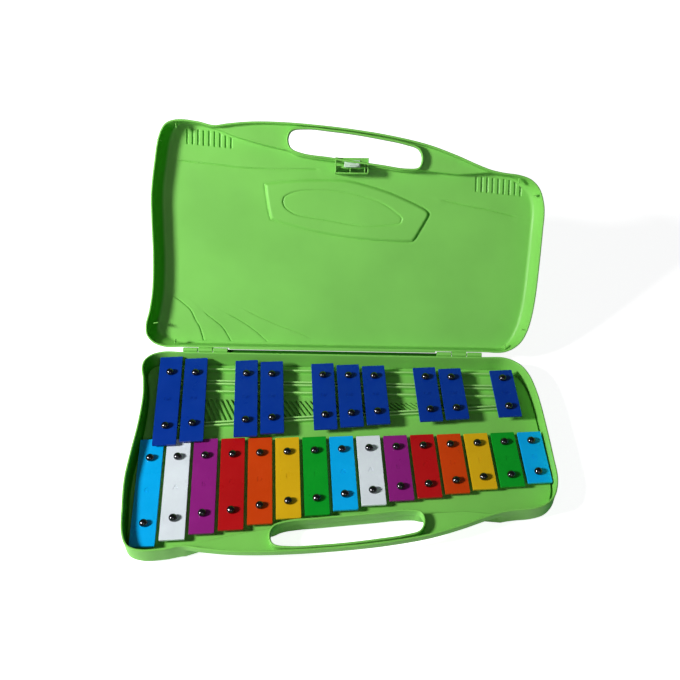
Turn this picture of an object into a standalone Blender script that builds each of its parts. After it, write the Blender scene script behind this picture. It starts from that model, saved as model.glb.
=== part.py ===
"""Metallophone: twenty-five tuned bars pinned to a bed inside a hinged carry case.

Run with: blender --background --python part.py
Sizes are in millimetres and become metres in the mesh functions.  The origin is on the table,
under the middle of the tray.  +X runs from the low notes to the high ones, +Y to the hinge.
"""

import math

import bmesh
import bpy
from mathutils import Matrix, Vector

MM = 0.001
GAP = 0.3

# The case's outline, which tray and lid share
CASE_WIDTH = 430.0
DEPTH_LEFT = 244.9
DEPTH_RIGHT = 191.9
REAR_Y = 122.9
CORNER = 20.0
WAIST_LEFT = 8.5
TAPER_FRONT_LEFT = 17.0
TAPER_REAR_RIGHT = 9.5
WALL = 2.0
WALL_DRAFT = 0.4
FLOOR = 2.2
FOOT_ROUND = 5.0
TRAY_HEIGHT = 23.0
LID_HEIGHT = 20.0

# The carrying handle, a shallow half on each shell with a slot through it
HANDLE_LEFT_X = -140.0
HANDLE_RIGHT_X = 158.0
HANDLE_DEPTH = 9.0
HANDLE_ROUND = 2.5
GRIP_WIDTH = 6.0
OPENING_LEFT_X = -60.5
OPENING_RIGHT_X = 82.5
OPENING_HEIGHT = 26.0
COLLAR = 2.2

# The hinge
HINGE_BACK = 2.7
KNUCKLE_RADIUS = 2.4
HINGE_PIN_RADIUS = 1.0
HINGE_BORE_RADIUS = 1.3
HINGE_LEFT_X = -149.0
HINGE_RIGHT_X = 128.0
KNUCKLE_LENGTH = 16.0
KNUCKLE_GAP = 0.5
LID_OPEN_DEG = 131.4
STOP_DROP = 4.5
FLANGE_DROP = 4.2
FLANGE_THICKNESS = 1.6
FLANGE_REACH = 3.0

# The bars: a flat plate's pitch falls with the square of its length.  The sharps' row is cut as if its
# lowest natural were a little shorter
BAR_LEAN_DEG = 4.55
BAR_PITCH = 27.52
BAR_WIDTH = 24.2
BAR_THICKNESS = 2.3
LONGEST_NATURAL = 123.7
LONGEST_SHARP_BASIS = 121.8
STEPS_TO_HALF_LENGTH = 24
PIN_SPAN = 0.61
NATURAL_FIRST_X = -188.6
NATURAL_FIRST_Y = -12.6
SHARP_FIRST_X = -184.0
SHARP_PIN_Y = 96.2
SHARP_PITCH = 27.45
NATURAL_TOP = 13.0
SHARP_TOP = 18.0

# The pins that hold the bars, and their posts
PIN_RADIUS = 1.6
PIN_HOLE_RADIUS = 2.3
PIN_HEAD_RADIUS = 3.7
PIN_HEAD_HEIGHT = 4.4
POST_RADIUS = 4.4
POST_FOOT_RADIUS = 4.9
PIN_SIDES = 8
HOLE_SIDES = 12

# The bed under the bars
BED_TOP = 6.0
BED_THICKNESS = 2.0
BED_EDGE = 2.2
RIB_WIDTH = 1.3
RIB_HEIGHT = 4.0
RIB_STEP = 4.0
REAR_RIB_SETBACK = 3.0
REAR_RAIL_LEAD = 13.5
REAR_RAIL_WIDTH = 2.0
LEDGE_SETBACK = 17.5
LEDGE_WIDTH = 2.6
FRONT_RIB_SETBACK = 4.6
RIB_END_MARGIN = 12.0
SLOT_WIDTH = 3.0
SLOT_PITCH = 5.6
SLOT_LEAN = 15.0
SLOT_MARGIN = 3.0
SLOT_REAR_MARGIN = 8.0
SLOT_SIDE_MARGIN = 26.0

# The lid's panel, with its ends sloping in and its shallow grooves
LID_END_SLOPE = 9.0
LID_END_FROM = 40.0
LID_END_FULL = 12.0
SHIELD_RISE = 1.5
SHIELD_SLOPE = 2.6
VENT_COUNT = 9
VENT_PITCH = 6.5
VENT_WIDTH = 1.4
VENT_LENGTH = 16.0
VENT_DEPTH = 1.2

# The latch, which slides along X in a housing behind the handle's slot
HOUSING_X = 8.0
HOUSING_WIDTH = 36.0
HOUSING_DEPTH = 18.0
HOUSING_REAR_Y = -67.0
HOUSING_WALL = 2.0
HOUSING_TOP_DROP = 1.0
SLIDER_SETBACK = 4.6
SLIDER_X = 8.3
SLIDER_LENGTH = 17.5
SLIDER_DEPTH = 5.0
SLIDER_THICKNESS = 3.0
SLIDER_DROP = 1.6
LATCH_TRAVEL = 6.0
THUMB_REACH = 2.6
LEDGE = 2.0
HOOK_WIDTH = 4.0
HOOK_DEPTH = 2.8
HOOK_REACH = 7.0
HOOK_LENGTH = 6.5
TOE_THICKNESS = 3.0
CATCH_THICKNESS = 2.0
CATCH_LENGTH = 12.4

NATURAL_NOTES = [("g5", 0), ("a5", 2), ("b5", 4), ("c6", 5), ("d6", 7), ("e6", 9), ("f6", 10), ("g6", 12),
                 ("a6", 14), ("b6", 16), ("c7", 17), ("d7", 19), ("e7", 21), ("f7", 22), ("g7", 24)]
SHARP_NOTES = [("g_sharp5", 1, 0), ("a_sharp5", 3, 1), ("c_sharp6", 6, 3), ("d_sharp6", 8, 4),
               ("f_sharp6", 11, 6), ("g_sharp6", 13, 7), ("a_sharp6", 15, 8), ("c_sharp7", 18, 10),
               ("d_sharp7", 20, 11), ("f_sharp7", 23, 13)]

CASE_GREEN = (0.19, 0.55, 0.09, 1.0)
BAR_COLOURS = {
    "g": (0.0, 0.39, 0.88, 1.0),
    "a": (0.70, 0.78, 0.84, 1.0),
    "b": (0.25, 0.015, 0.20, 1.0),
    "c": (0.43, 0.006, 0.008, 1.0),
    "d": (0.58, 0.055, 0.003, 1.0),
    "e": (0.68, 0.42, 0.006, 1.0),
    "f": (0.003, 0.32, 0.02, 1.0),
    "sharp": (0.001, 0.036, 0.32, 1.0),
}

PARTING_Z = TRAY_HEIGHT
HINGE_Y = REAR_Y + HINGE_BACK
SLIDER_REAR_Y = HOUSING_REAR_Y - HOUSING_WALL - GAP - SLIDER_SETBACK
LEAN = math.radians(BAR_LEAN_DEG)
LID_OPEN = math.radians(LID_OPEN_DEG)


# Outlines

def spline(knots, samples):
    """Points on a smooth closed curve through the knots, with a few samples on each span."""
    knots = [Vector(knot) for knot in knots]
    count = len(knots)
    tangents = []
    for index, knot in enumerate(knots):
        before = (knot - knots[index - 1]).normalized()
        after = (knots[(index + 1) % count] - knot).normalized()
        tangents.append((before + after) / 2)
    points = []
    for index in range(count):
        start, end = knots[index], knots[(index + 1) % count]
        reach = (end - start).length
        leave, arrive = tangents[index] * reach, tangents[(index + 1) % count] * reach
        for sample in range(samples):
            t = sample / samples
            point = (start * (2 * t ** 3 - 3 * t ** 2 + 1) + leave * (t ** 3 - 2 * t ** 2 + t)
                     + end * (3 * t ** 2 - 2 * t ** 3) + arrive * (t ** 3 - t ** 2))
            points.append(point)
    return points


def inset(points, distance):
    """The closed outline moved inwards by one distance, or by one distance for each point."""
    count = len(points)
    distances = distance if isinstance(distance, list) else [distance] * count
    moved = []
    for index, point in enumerate(points):
        before = (point - points[index - 1]).normalized()
        after = (points[(index + 1) % count] - point).normalized()
        tangent = (before + after).normalized()
        normal = Vector((-tangent.y, tangent.x))
        stretch = 1.0 / max(0.5, normal.dot(Vector((-after.y, after.x))))
        moved.append(point + normal * distances[index] * stretch)
    return moved


def resample(points, count):
    """The open line's points spaced evenly along it."""
    lengths = [0.0]
    for start, end in zip(points, points[1:]):
        lengths.append(lengths[-1] + (end - start).length)
    spaced = []
    for step in range(count):
        target = lengths[-1] * step / (count - 1)
        index = max(i for i, length in enumerate(lengths) if length <= target + 1e-9)
        index = min(index, len(points) - 2)
        share = (target - lengths[index]) / (lengths[index + 1] - lengths[index])
        spaced.append(points[index].lerp(points[index + 1], share))
    return spaced


def case_sides():
    """Knots round the case from the handle's right end, past the hinge, to its left end."""
    left, right = -CASE_WIDTH / 2, CASE_WIDTH / 2
    rear, front_left, front_right = REAR_Y, REAR_Y - DEPTH_LEFT, REAR_Y - DEPTH_RIGHT
    c = CORNER
    return [
        (HANDLE_RIGHT_X, front_right - 4.0),
        (HANDLE_RIGHT_X + 12.0, front_right - 1.5),
        (right - 1.35 * c, front_right + 1.0),
        (right - 0.75 * c, front_right + 5.5),
        (right - 0.3 * c, front_right + 0.75 * c),
        (right - 1.6, front_right + 1.35 * c),
        (right, front_right + 1.9 * c),
        (right - 1.0, front_right + 60.0),
        (right - 3.2, front_right + 95.0),
        (right - 0.7 * TAPER_REAR_RIGHT, rear - 57.0),
        (right - TAPER_REAR_RIGHT, rear - 1.95 * c),
        (right - TAPER_REAR_RIGHT - 4.0, rear - 1.2 * c),
        (right - TAPER_REAR_RIGHT - 0.55 * c, rear - 0.55 * c),
        (right - TAPER_REAR_RIGHT - c, rear - 0.18 * c),
        (right - TAPER_REAR_RIGHT - 1.5 * c, rear),
        (right - TAPER_REAR_RIGHT - 2.5 * c, rear),
        (left + 2.0 * c, rear),
        (left + c, rear),
        (left + 0.4 * c, rear - 0.22 * c),
        (left + 0.06 * c, rear - 0.62 * c),
        (left, rear - 1.15 * c),
        (left + 0.45 * WAIST_LEFT, rear - 1.95 * c),
        (left + 0.85 * WAIST_LEFT, rear - 60.0),
        (left + WAIST_LEFT, rear - 98.0),
        (left + 0.85 * WAIST_LEFT, rear - 135.0),
        (left + 0.8 * WAIST_LEFT, front_left + 80.0),
        (left + 0.6 * TAPER_FRONT_LEFT, front_left + 48.0),
        (left + TAPER_FRONT_LEFT, front_left + 0.65 * c),
        (left + TAPER_FRONT_LEFT + 0.3 * c, front_left + 0.2 * c),
        (left + TAPER_FRONT_LEFT + 0.85 * c, front_left),
        (left + TAPER_FRONT_LEFT + 2.0 * c, front_left + 1.6),
        (HANDLE_LEFT_X, front_left + 5.5),
    ]


def handle_front():
    """Knots of the handle's outer edge, a long bow from left to right."""
    front_left, front_right = REAR_Y - DEPTH_LEFT, REAR_Y - DEPTH_RIGHT
    fall = front_right - front_left
    return [
        (HANDLE_LEFT_X + 14.0, front_left + 3.6),
        (HANDLE_LEFT_X + 38.0, front_left + 1.4),
        (HANDLE_LEFT_X + 68.0, front_left + 1.3),
        (HANDLE_LEFT_X + 105.0, front_left + 3.5),
        (HANDLE_LEFT_X + 148.0, front_left + 0.15 * fall),
        (HANDLE_LEFT_X + 190.0, front_left + 0.27 * fall),
        (HANDLE_LEFT_X + 230.0, front_left + 0.44 * fall),
        (HANDLE_RIGHT_X - 38.0, front_left + 0.64 * fall),
        (HANDLE_RIGHT_X - 14.0, front_left + 0.83 * fall),
    ]


def opening_outline(grow=0.0):
    """The slot through the handle, with a rounded end each side."""
    front_left, front_right = REAR_Y - DEPTH_LEFT, REAR_Y - DEPTH_RIGHT
    slope = (front_right - front_left) / (CASE_WIDTH - TAPER_FRONT_LEFT)
    low = front_left + GRIP_WIDTH + 1.5
    length = OPENING_RIGHT_X - OPENING_LEFT_X
    def front(share):
        bow = 3.6 * math.sin(math.pi * share)
        return low + slope * length * share * 1.08 - bow
    def rear(share):
        return front(share) + OPENING_HEIGHT - 2.0 + 4.0 * math.sin(math.pi * share) - 1.0 * share
    x = OPENING_LEFT_X
    mid = OPENING_HEIGHT / 2
    knots = [(x + length * share, front(share)) for share in (0.13, 0.32, 0.5, 0.7, 0.88)]
    knots += [
        (OPENING_RIGHT_X - 3.5, front(0.95) + 3.0),
        (OPENING_RIGHT_X, front(1.0) + mid - 2.0),
        (OPENING_RIGHT_X - 3.0, rear(0.96) - 2.6),
    ]
    knots += [(x + length * share, rear(share)) for share in (0.9, 0.7, 0.5, 0.3, 0.1)]
    knots += [
        (x + 3.2, rear(0.0) - 3.0),
        (x, front(0.0) + mid - 1.0),
        (x + 3.4, front(0.03) + 3.4),
    ]
    points = spline(knots, 2)
    return inset(points, -grow) if grow else points


def case_loops():
    """Full and deep outlines with matching points, and how far along the handle each point is."""
    sides = case_sides()
    handle = handle_front()
    samples = 2
    full = spline(sides + handle, samples)
    side_count = (len(sides) - 1) * samples + 1
    handle_count = len(full) - side_count
    start, end = full[side_count - 1], full[0]
    rear_edge = [Vector(point) for point in opening_outline(grow=0.9)]
    behind = sorted((p for p in rear_edge if p.y > opening_middle(p.x)), key=lambda p: p.x)
    crease = [start, start + Vector((22.0, 8.5)), start + Vector((50.0, 16.5)),
              Vector((OPENING_LEFT_X + 1.0, behind[0].y + 4.0))]
    crease += behind[1:-1]
    crease += [Vector((OPENING_RIGHT_X + 5.0, behind[-2].y + 0.4)), end + Vector((-36.0, 2.6)), end]
    steps = resample(crease, handle_count + 2)
    deep = full[:side_count] + steps[1:-1]
    share = [0.0] * side_count
    share += [math.sin(math.pi * (i + 1) / (handle_count + 1)) ** 0.5 for i in range(handle_count)]
    return full, deep, share


def opening_middle(x):
    """The slot's middle line, at one x."""
    front_left, front_right = REAR_Y - DEPTH_LEFT, REAR_Y - DEPTH_RIGHT
    slope = (front_right - front_left) / (CASE_WIDTH - TAPER_FRONT_LEFT)
    return front_left + GRIP_WIDTH + 2.5 + OPENING_HEIGHT / 2 + slope * (x - OPENING_LEFT_X)


# Meshes and objects

def clear_scene():
    for thing in list(bpy.data.objects):
        bpy.data.objects.remove(thing, do_unlink=True)


def collection(name):
    group = bpy.data.collections.new(name)
    bpy.context.scene.collection.children.link(group)
    return group


def material(name, colour, roughness, metallic=0.0):
    found = bpy.data.materials.get(name)
    if found:
        return found
    made = bpy.data.materials.new(name)
    made.use_nodes = True
    shader = made.node_tree.nodes["Principled BSDF"]
    shader.inputs["Base Color"].default_value = colour
    shader.inputs["Roughness"].default_value = roughness
    shader.inputs["Metallic"].default_value = metallic
    return made


def object_from(bm, name, group, skin=None):
    """A mesh object from a bmesh whose faces are turned outwards."""
    bmesh.ops.recalc_face_normals(bm, faces=bm.faces)
    mesh = bpy.data.meshes.new(name)
    bm.to_mesh(mesh)
    bm.free()
    thing = bpy.data.objects.new(name, mesh)
    group.objects.link(thing)
    if skin:
        mesh.materials.append(skin)
    return thing


def mark_tool(thing):
    """A solid that is only cut from or joined to a part."""
    thing.hide_render = True
    thing.display_type = "WIRE"
    return thing


def combine(part, tool, operation):
    """Joins a tool to a part, cuts it away or keeps what both share."""
    step = part.modifiers.new(tool.name, "BOOLEAN")
    step.object = tool
    step.operation = operation
    step.solver = "EXACT"
    mark_tool(tool)


def plate(loops, low, high):
    """A flat plate with its holes, from a filled 2D curve."""
    curve = bpy.data.curves.new("plate", "CURVE")
    curve.dimensions = "2D"
    curve.fill_mode = "BOTH"
    curve.extrude = (high - low) / 2 * MM
    for loop in loops:
        line = curve.splines.new("POLY")
        line.points.add(len(loop) - 1)
        for knot, point in zip(line.points, loop):
            knot.co = (point[0] * MM, point[1] * MM, 0.0, 1.0)
        line.use_cyclic_u = True
    holder = bpy.data.objects.new("plate", curve)
    bpy.context.scene.collection.objects.link(holder)
    graph = bpy.context.evaluated_depsgraph_get()
    mesh = bpy.data.meshes.new_from_object(holder.evaluated_get(graph))
    bpy.data.objects.remove(holder, do_unlink=True)
    bm = bmesh.new()
    bm.from_mesh(mesh)
    bpy.data.meshes.remove(mesh)
    bmesh.ops.remove_doubles(bm, verts=bm.verts, dist=1e-6)
    bmesh.ops.translate(bm, verts=bm.verts, vec=(0.0, 0.0, (low + high) / 2 * MM))
    return bm


def add_box(bm, low, high):
    """A box between two corners."""
    size = [(b - a) * MM for a, b in zip(low, high)]
    middle = [(a + b) / 2 * MM for a, b in zip(low, high)]
    matrix = Matrix.Translation(middle) @ Matrix.Diagonal((*size, 1.0))
    bmesh.ops.create_cube(bm, size=1.0, matrix=matrix)


def add_bar_along_x(bm, radius, left, right, y, z, sides):
    """A round bar that lies along X."""
    matrix = Matrix.Translation(((left + right) / 2 * MM, y * MM, z * MM)) @ Matrix.Rotation(
        math.pi / 2, 4, "Y")
    bmesh.ops.create_cone(bm, cap_ends=True, segments=sides, radius1=radius * MM,
                          radius2=radius * MM, depth=(right - left) * MM, matrix=matrix)


def add_plate(bm, loops, low, high):
    """A flat plate added to a bmesh that is being built."""
    piece = plate(loops, low, high)
    mesh = bpy.data.meshes.new("piece")
    piece.to_mesh(mesh)
    piece.free()
    bm.from_mesh(mesh)
    bpy.data.meshes.remove(mesh)


def bridge(bm, lower, upper):
    """Faces between two rings of vertices, none where the rings share a vertex."""
    count = len(lower)
    for index in range(count):
        after = (index + 1) % count
        corners = [lower[index], lower[after], upper[after], upper[index]]
        face = []
        for corner in corners:
            if corner not in face:
                face.append(corner)
        if len(face) > 2:
            bm.faces.new(face)


def ring(bm, points, z, shared=None):
    """A ring of vertices at one height, taking those of the shared ring that lie on it."""
    verts = []
    for index, point in enumerate(points):
        if shared and shared[index] is not None:
            verts.append(shared[index])
        else:
            verts.append(bm.verts.new((point.x * MM, point.y * MM, z * MM)))
    return verts


def end_slopes(points, reach):
    """How far each point moves in where the case's left and right ends slope to the panel."""
    slopes = []
    for point in points:
        from_end = CASE_WIDTH / 2 - abs(point.x)
        share = min(1.0, max(0.0, (LID_END_FROM - from_end) / (LID_END_FROM - LID_END_FULL)))
        slopes.append(reach * share * share * (3 - 2 * share))
    return slopes


def half_shell(height, end_slope=0.0):
    """One half of the case as an open dish: its foot at z = 0 and its rim at the height."""
    full, deep, share = case_loops()
    bm = bmesh.new()
    shelf = height - HANDLE_DEPTH
    draft = WALL_DRAFT
    on_side = [part == 0.0 for part in share]
    slopes = end_slopes(deep, end_slope)

    def keep(verts):
        return [vert if side else None for vert, side in zip(verts, on_side)]

    def leaning(distance, level):
        """The deep outline's inset at one level, with its share of the ends' slope."""
        return inset(deep, [distance + slope * (1.0 - level / shelf) for slope in slopes])

    foot = ring(bm, leaning(draft + FOOT_ROUND, 0.0), 0.0)
    level_1, level_2 = 0.18 * FOOT_ROUND, 0.6 * FOOT_ROUND
    round_1 = ring(bm, leaning(draft + 0.42 * FOOT_ROUND, level_1), level_1)
    round_2 = ring(bm, leaning(draft + 0.1 * FOOT_ROUND, level_2), level_2)
    knee_points = inset(full, draft)
    deep_knee = inset(deep, draft)
    knee = ring(bm, [a if side else b for a, b, side in zip(knee_points, deep_knee, on_side)], shelf)
    grip_points = inset(full, [draft + part * HANDLE_ROUND for part in share])
    grip = ring(bm, grip_points, shelf, keep(knee))
    grip_side = ring(bm, inset(full, 0.5 * draft), shelf + HANDLE_ROUND)
    rim_out = ring(bm, full, height)
    rim_in = ring(bm, inset(full, WALL), height)
    bm.faces.new(foot)
    for lower, upper in ((foot, round_1), (round_1, round_2), (round_2, knee), (knee, grip),
                         (grip, grip_side), (grip_side, rim_out), (rim_out, rim_in)):
        bridge(bm, lower, upper)

    inner_full = inset(full, WALL + draft)
    inner_deep = inset(deep, WALL + draft)
    tread = ring(bm, inner_full, shelf + FLOOR)
    step = ring(bm, [a if side else b for a, b, side in zip(inner_full, inner_deep, on_side)],
                shelf + FLOOR, keep(tread))
    low_wall = ring(bm, leaning(WALL + draft + 0.2, FLOOR + 1.0), FLOOR + 1.0)
    floor = ring(bm, leaning(WALL + draft + 1.0, FLOOR), FLOOR)
    for lower, upper in ((rim_in, tread), (tread, step), (step, low_wall), (low_wall, floor)):
        bridge(bm, lower, upper)
    bm.faces.new(floor)
    return bm


def handle_collar(height):
    """The wall round the handle's slot, and the slot itself as a cutter."""
    shelf = height - HANDLE_DEPTH
    collar = plate([opening_outline(grow=COLLAR)], shelf + 0.2, height)
    slot = plate([opening_outline()], shelf - 6.0, height + 5.0)
    return collar, slot


def knuckles(middle, side):
    """One hinge's knuckles: two outer ones for the tray (side -1), the middle one for the lid (+1)."""
    outer = KNUCKLE_LENGTH / 2 + KNUCKLE_GAP
    spans = [(middle - KNUCKLE_LENGTH / 2, middle + KNUCKLE_LENGTH / 2)]
    if side < 0:
        spans = [(middle - outer - KNUCKLE_LENGTH, middle - outer), (middle + outer, middle + outer + KNUCKLE_LENGTH)]
    return spans


def bars():
    """Name, colour, centre, length and top height of each bar, with its two pins."""
    across = Vector((math.cos(LEAN), math.sin(LEAN)))
    along = Vector((math.sin(LEAN), -math.cos(LEAN)))
    found = []
    for index, (note, step) in enumerate(NATURAL_NOTES):
        length = LONGEST_NATURAL * 2 ** (-step / STEPS_TO_HALF_LENGTH)
        rear = Vector((NATURAL_FIRST_X, NATURAL_FIRST_Y)) + across * BAR_PITCH * index
        front = rear + along * PIN_SPAN * length
        found.append((f"bar_{note}", note[0], length, NATURAL_TOP, rear, front))
    for note, step, place in SHARP_NOTES:
        length = LONGEST_SHARP_BASIS * 2 ** (-step / STEPS_TO_HALF_LENGTH)
        rear = Vector((SHARP_FIRST_X + SHARP_PITCH * place, SHARP_PIN_Y))
        front = rear + along * PIN_SPAN * length
        found.append((f"bar_{note}", "sharp", length, SHARP_TOP, rear, front))
    return found


def circle(middle, radius, sides):
    return [middle + radius * Vector((math.cos(2 * math.pi * i / sides), math.sin(2 * math.pi * i / sides)))
            for i in range(sides)]


def make_bar(group, name, colour, length, top, rear, front):
    """A flat bar with a hole for each pin."""
    along = (front - rear).normalized()
    across = Vector((-along.y, along.x))
    middle = (rear + front) / 2
    corners = [middle + along * length / 2 * a + across * BAR_WIDTH / 2 * b
               for a, b in ((-1, -1), (-1, 1), (1, 1), (1, -1))]
    holes = [circle(pin, PIN_HOLE_RADIUS, HOLE_SIDES) for pin in (rear, front)]
    bm = plate([corners] + holes, top - BAR_THICKNESS, top)
    skin = material(f"paint_{colour}", BAR_COLOURS[colour], 0.35, 0.0)
    return object_from(bm, name, group, skin)


def pin_mesh(top):
    """A post with its pin, turned about Z: the post's foot, the shank and the domed head."""
    post_top = top - BAR_THICKNESS - GAP
    head_low = top + GAP
    head_top = head_low + PIN_HEAD_HEIGHT
    profile = [
        (0.0, head_top),
        (0.62 * PIN_HEAD_RADIUS, head_top - 0.2 * PIN_HEAD_HEIGHT),
        (PIN_HEAD_RADIUS, head_low + 0.35 * PIN_HEAD_HEIGHT),
        (0.8 * PIN_HEAD_RADIUS, head_low),
        (PIN_RADIUS, head_low),
        (PIN_RADIUS, post_top),
        (POST_RADIUS, post_top),
        (POST_FOOT_RADIUS, BED_TOP - 0.5 * BED_THICKNESS),
        (0.0, BED_TOP - 0.5 * BED_THICKNESS),
    ]
    mesh = bpy.data.meshes.new("pin_profile")
    mesh.from_pydata([(r * MM, 0.0, z * MM) for r, z in profile],
                     [(i, i + 1) for i in range(len(profile) - 1)], [])
    holder = bpy.data.objects.new("pin_profile", mesh)
    bpy.context.scene.collection.objects.link(holder)
    turn = holder.modifiers.new("turn", "SCREW")
    turn.steps = PIN_SIDES
    turn.render_steps = PIN_SIDES
    turn.use_merge_vertices = True
    turn.merge_threshold = 0.00001
    graph = bpy.context.evaluated_depsgraph_get()
    turned = bpy.data.meshes.new_from_object(holder.evaluated_get(graph))
    bpy.data.objects.remove(holder, do_unlink=True)
    return turned


def make_bed(group, tools):
    """The moulded bed: a plate on a skirt, with ribs, sound slots, and a post and pin at each hole."""
    full, deep, share = case_loops()
    edge = WALL + WALL_DRAFT + 0.2 + BED_EDGE
    bm = bmesh.new()
    skirt = FLOOR + GAP
    plate_low = BED_TOP - BED_THICKNESS
    outer_low = ring(bm, inset(deep, edge), skirt)
    outer_top = ring(bm, inset(deep, edge), BED_TOP)
    inner_low = ring(bm, inset(deep, edge + BED_THICKNESS), skirt)
    inner_top = ring(bm, inset(deep, edge + BED_THICKNESS), plate_low)
    bridge(bm, outer_low, outer_top)
    bridge(bm, inner_low, outer_low)
    bridge(bm, inner_top, inner_low)
    bm.faces.new(outer_top)
    bm.faces.new(inner_top)
    bed = object_from(bm, "bar_bed", group, material("bed_plastic", CASE_GREEN, 0.45))

    layout = bars()
    sharps = [bar for bar in layout if bar[1] == "sharp"]
    first, last = sharps[0][5], sharps[-1][5]
    slope = (last.y - first.y) / (last.x - first.x)
    left = -CASE_WIDTH / 2 + WAIST_LEFT + edge + RIB_END_MARGIN
    right = CASE_WIDTH / 2 - TAPER_REAR_RIGHT - edge - RIB_END_MARGIN
    def front_line(x):
        return first.y + slope * (x - first.x)

    ribs = bmesh.new()
    for middle, width in ((SHARP_PIN_Y + REAR_RAIL_LEAD, REAR_RAIL_WIDTH), (SHARP_PIN_Y - LEDGE_SETBACK, LEDGE_WIDTH)):
        add_box(ribs, (left, middle - width / 2, BED_TOP - 0.7), (right, middle + width / 2, BED_TOP + RIB_HEIGHT))
    for step in range(2):
        y = SHARP_PIN_Y - REAR_RIB_SETBACK - RIB_STEP * step
        add_box(ribs, (left, y - RIB_WIDTH / 2, BED_TOP - 0.7), (right, y + RIB_WIDTH / 2, BED_TOP + RIB_HEIGHT))
        lift = FRONT_RIB_SETBACK + RIB_STEP * step
        outline = [(left, front_line(left) + lift - RIB_WIDTH / 2), (right, front_line(right) + lift - RIB_WIDTH / 2),
                   (right, front_line(right) + lift + RIB_WIDTH / 2), (left, front_line(left) + lift + RIB_WIDTH / 2)]
        add_plate(ribs, [outline], BED_TOP - 0.7, BED_TOP + RIB_HEIGHT)
    combine(bed, object_from(ribs, "bed_ribs", tools), "UNION")

    posts = bmesh.new()
    for name, colour, length, top, rear, front in layout:
        turned = pin_mesh(top)
        for pin in (rear, front):
            before = len(posts.verts)
            posts.from_mesh(turned)
            fresh = list(posts.verts)[before:]
            bmesh.ops.translate(posts, verts=fresh, vec=(pin.x * MM, pin.y * MM, 0.0))
        bpy.data.meshes.remove(turned)
    combine(bed, object_from(posts, "bar_pins", tools), "UNION")

    slots = bmesh.new()
    rear_edge = SHARP_PIN_Y - LEDGE_SETBACK - SLOT_REAR_MARGIN
    x = left + SLOT_SIDE_MARGIN - SLOT_LEAN
    while x < right - SLOT_SIDE_MARGIN:
        front_edge = front_line(x) + FRONT_RIB_SETBACK + RIB_STEP + SLOT_MARGIN
        outline = [(x, rear_edge), (x + SLOT_WIDTH, rear_edge),
                   (x + SLOT_WIDTH + SLOT_LEAN, front_edge), (x + SLOT_LEAN, front_edge)]
        add_plate(slots, [outline[::-1]], plate_low - 1.0, BED_TOP + 1.0)
        x += SLOT_PITCH
    combine(bed, object_from(slots, "sound_slots", tools), "DIFFERENCE")
    return bed


def make_tray(group, tools):
    """The lower half of the case, with its share of the hinge and the latch's catch."""
    tray = object_from(half_shell(TRAY_HEIGHT), "tray", group, material("case_plastic", CASE_GREEN, 0.45))
    collar, slot = handle_collar(TRAY_HEIGHT)
    combine(tray, object_from(collar, "tray_collar", tools), "UNION")
    for place, middle in (("left", HINGE_LEFT_X), ("right", HINGE_RIGHT_X)):
        for side, (start, end) in zip(("a", "b"), knuckles(middle, -1)):
            web = bmesh.new()
            add_box(web, (start, REAR_Y - 1.2, PARTING_Z - 7.0), (end, HINGE_Y, PARTING_Z - 0.8))
            combine(tray, object_from(web, f"tray_web_{place}_{side}", tools), "UNION")
            barrel = bmesh.new()
            add_bar_along_x(barrel, KNUCKLE_RADIUS, start + 0.05, end - 0.05, HINGE_Y, PARTING_Z, 16)
            combine(tray, object_from(barrel, f"tray_barrel_{place}_{side}", tools), "UNION")
    flange = bmesh.new()
    half_hinge = 1.5 * KNUCKLE_LENGTH + KNUCKLE_GAP
    add_box(flange, (HINGE_LEFT_X + half_hinge - 1.0, REAR_Y - 1.2, PARTING_Z - FLANGE_DROP),
            (HINGE_RIGHT_X - half_hinge + 1.0, HINGE_Y + FLANGE_REACH, PARTING_Z - FLANGE_DROP + FLANGE_THICKNESS))
    combine(tray, object_from(flange, "tray_flange", tools), "UNION")
    catch = bmesh.new()
    catch_right = SLIDER_X + SLIDER_LENGTH / 2 - 1.0 - HOOK_WIDTH - HOOK_REACH - 2 * GAP
    hook_y = SLIDER_REAR_Y - 1.0
    top = PARTING_Z - HOOK_LENGTH + TOE_THICKNESS + 0.4 + CATCH_THICKNESS
    add_box(catch, (catch_right - CATCH_LENGTH, hook_y - HOOK_DEPTH - 8.2, top - CATCH_THICKNESS),
            (catch_right, hook_y, top))
    combine(tray, object_from(catch, "latch_catch", tools), "UNION")
    combine(tray, object_from(slot, "tray_slot", tools), "DIFFERENCE")
    for place, middle in (("left", HINGE_LEFT_X), ("right", HINGE_RIGHT_X)):
        combine(tray, hinge_bore(tools, f"tray_bore_{place}", middle, HINGE_Y, PARTING_Z), "DIFFERENCE")
    return tray


def hinge_bore(tools, name, middle, y, z):
    bore = bmesh.new()
    reach = 1.5 * KNUCKLE_LENGTH + KNUCKLE_GAP + 1.0
    add_bar_along_x(bore, HINGE_BORE_RADIUS, middle - reach, middle + reach, y, z, 12)
    return object_from(bore, name, tools)


def to_lid(bm):
    """Turns a shell's dish upside down onto the parting plane, about the hinge's axis."""
    bmesh.ops.scale(bm, verts=bm.verts, vec=(1.0, 1.0, -1.0))
    bmesh.ops.translate(bm, verts=bm.verts, vec=(0.0, -HINGE_Y * MM, (LID_HEIGHT + GAP) * MM))
    return bm


def lid_tool(bm, name, tools, lid):
    """A tool solid in the closed lid's own frame, carried by the lid."""
    tool = object_from(bm, name, tools)
    tool.parent = lid
    return tool


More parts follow.
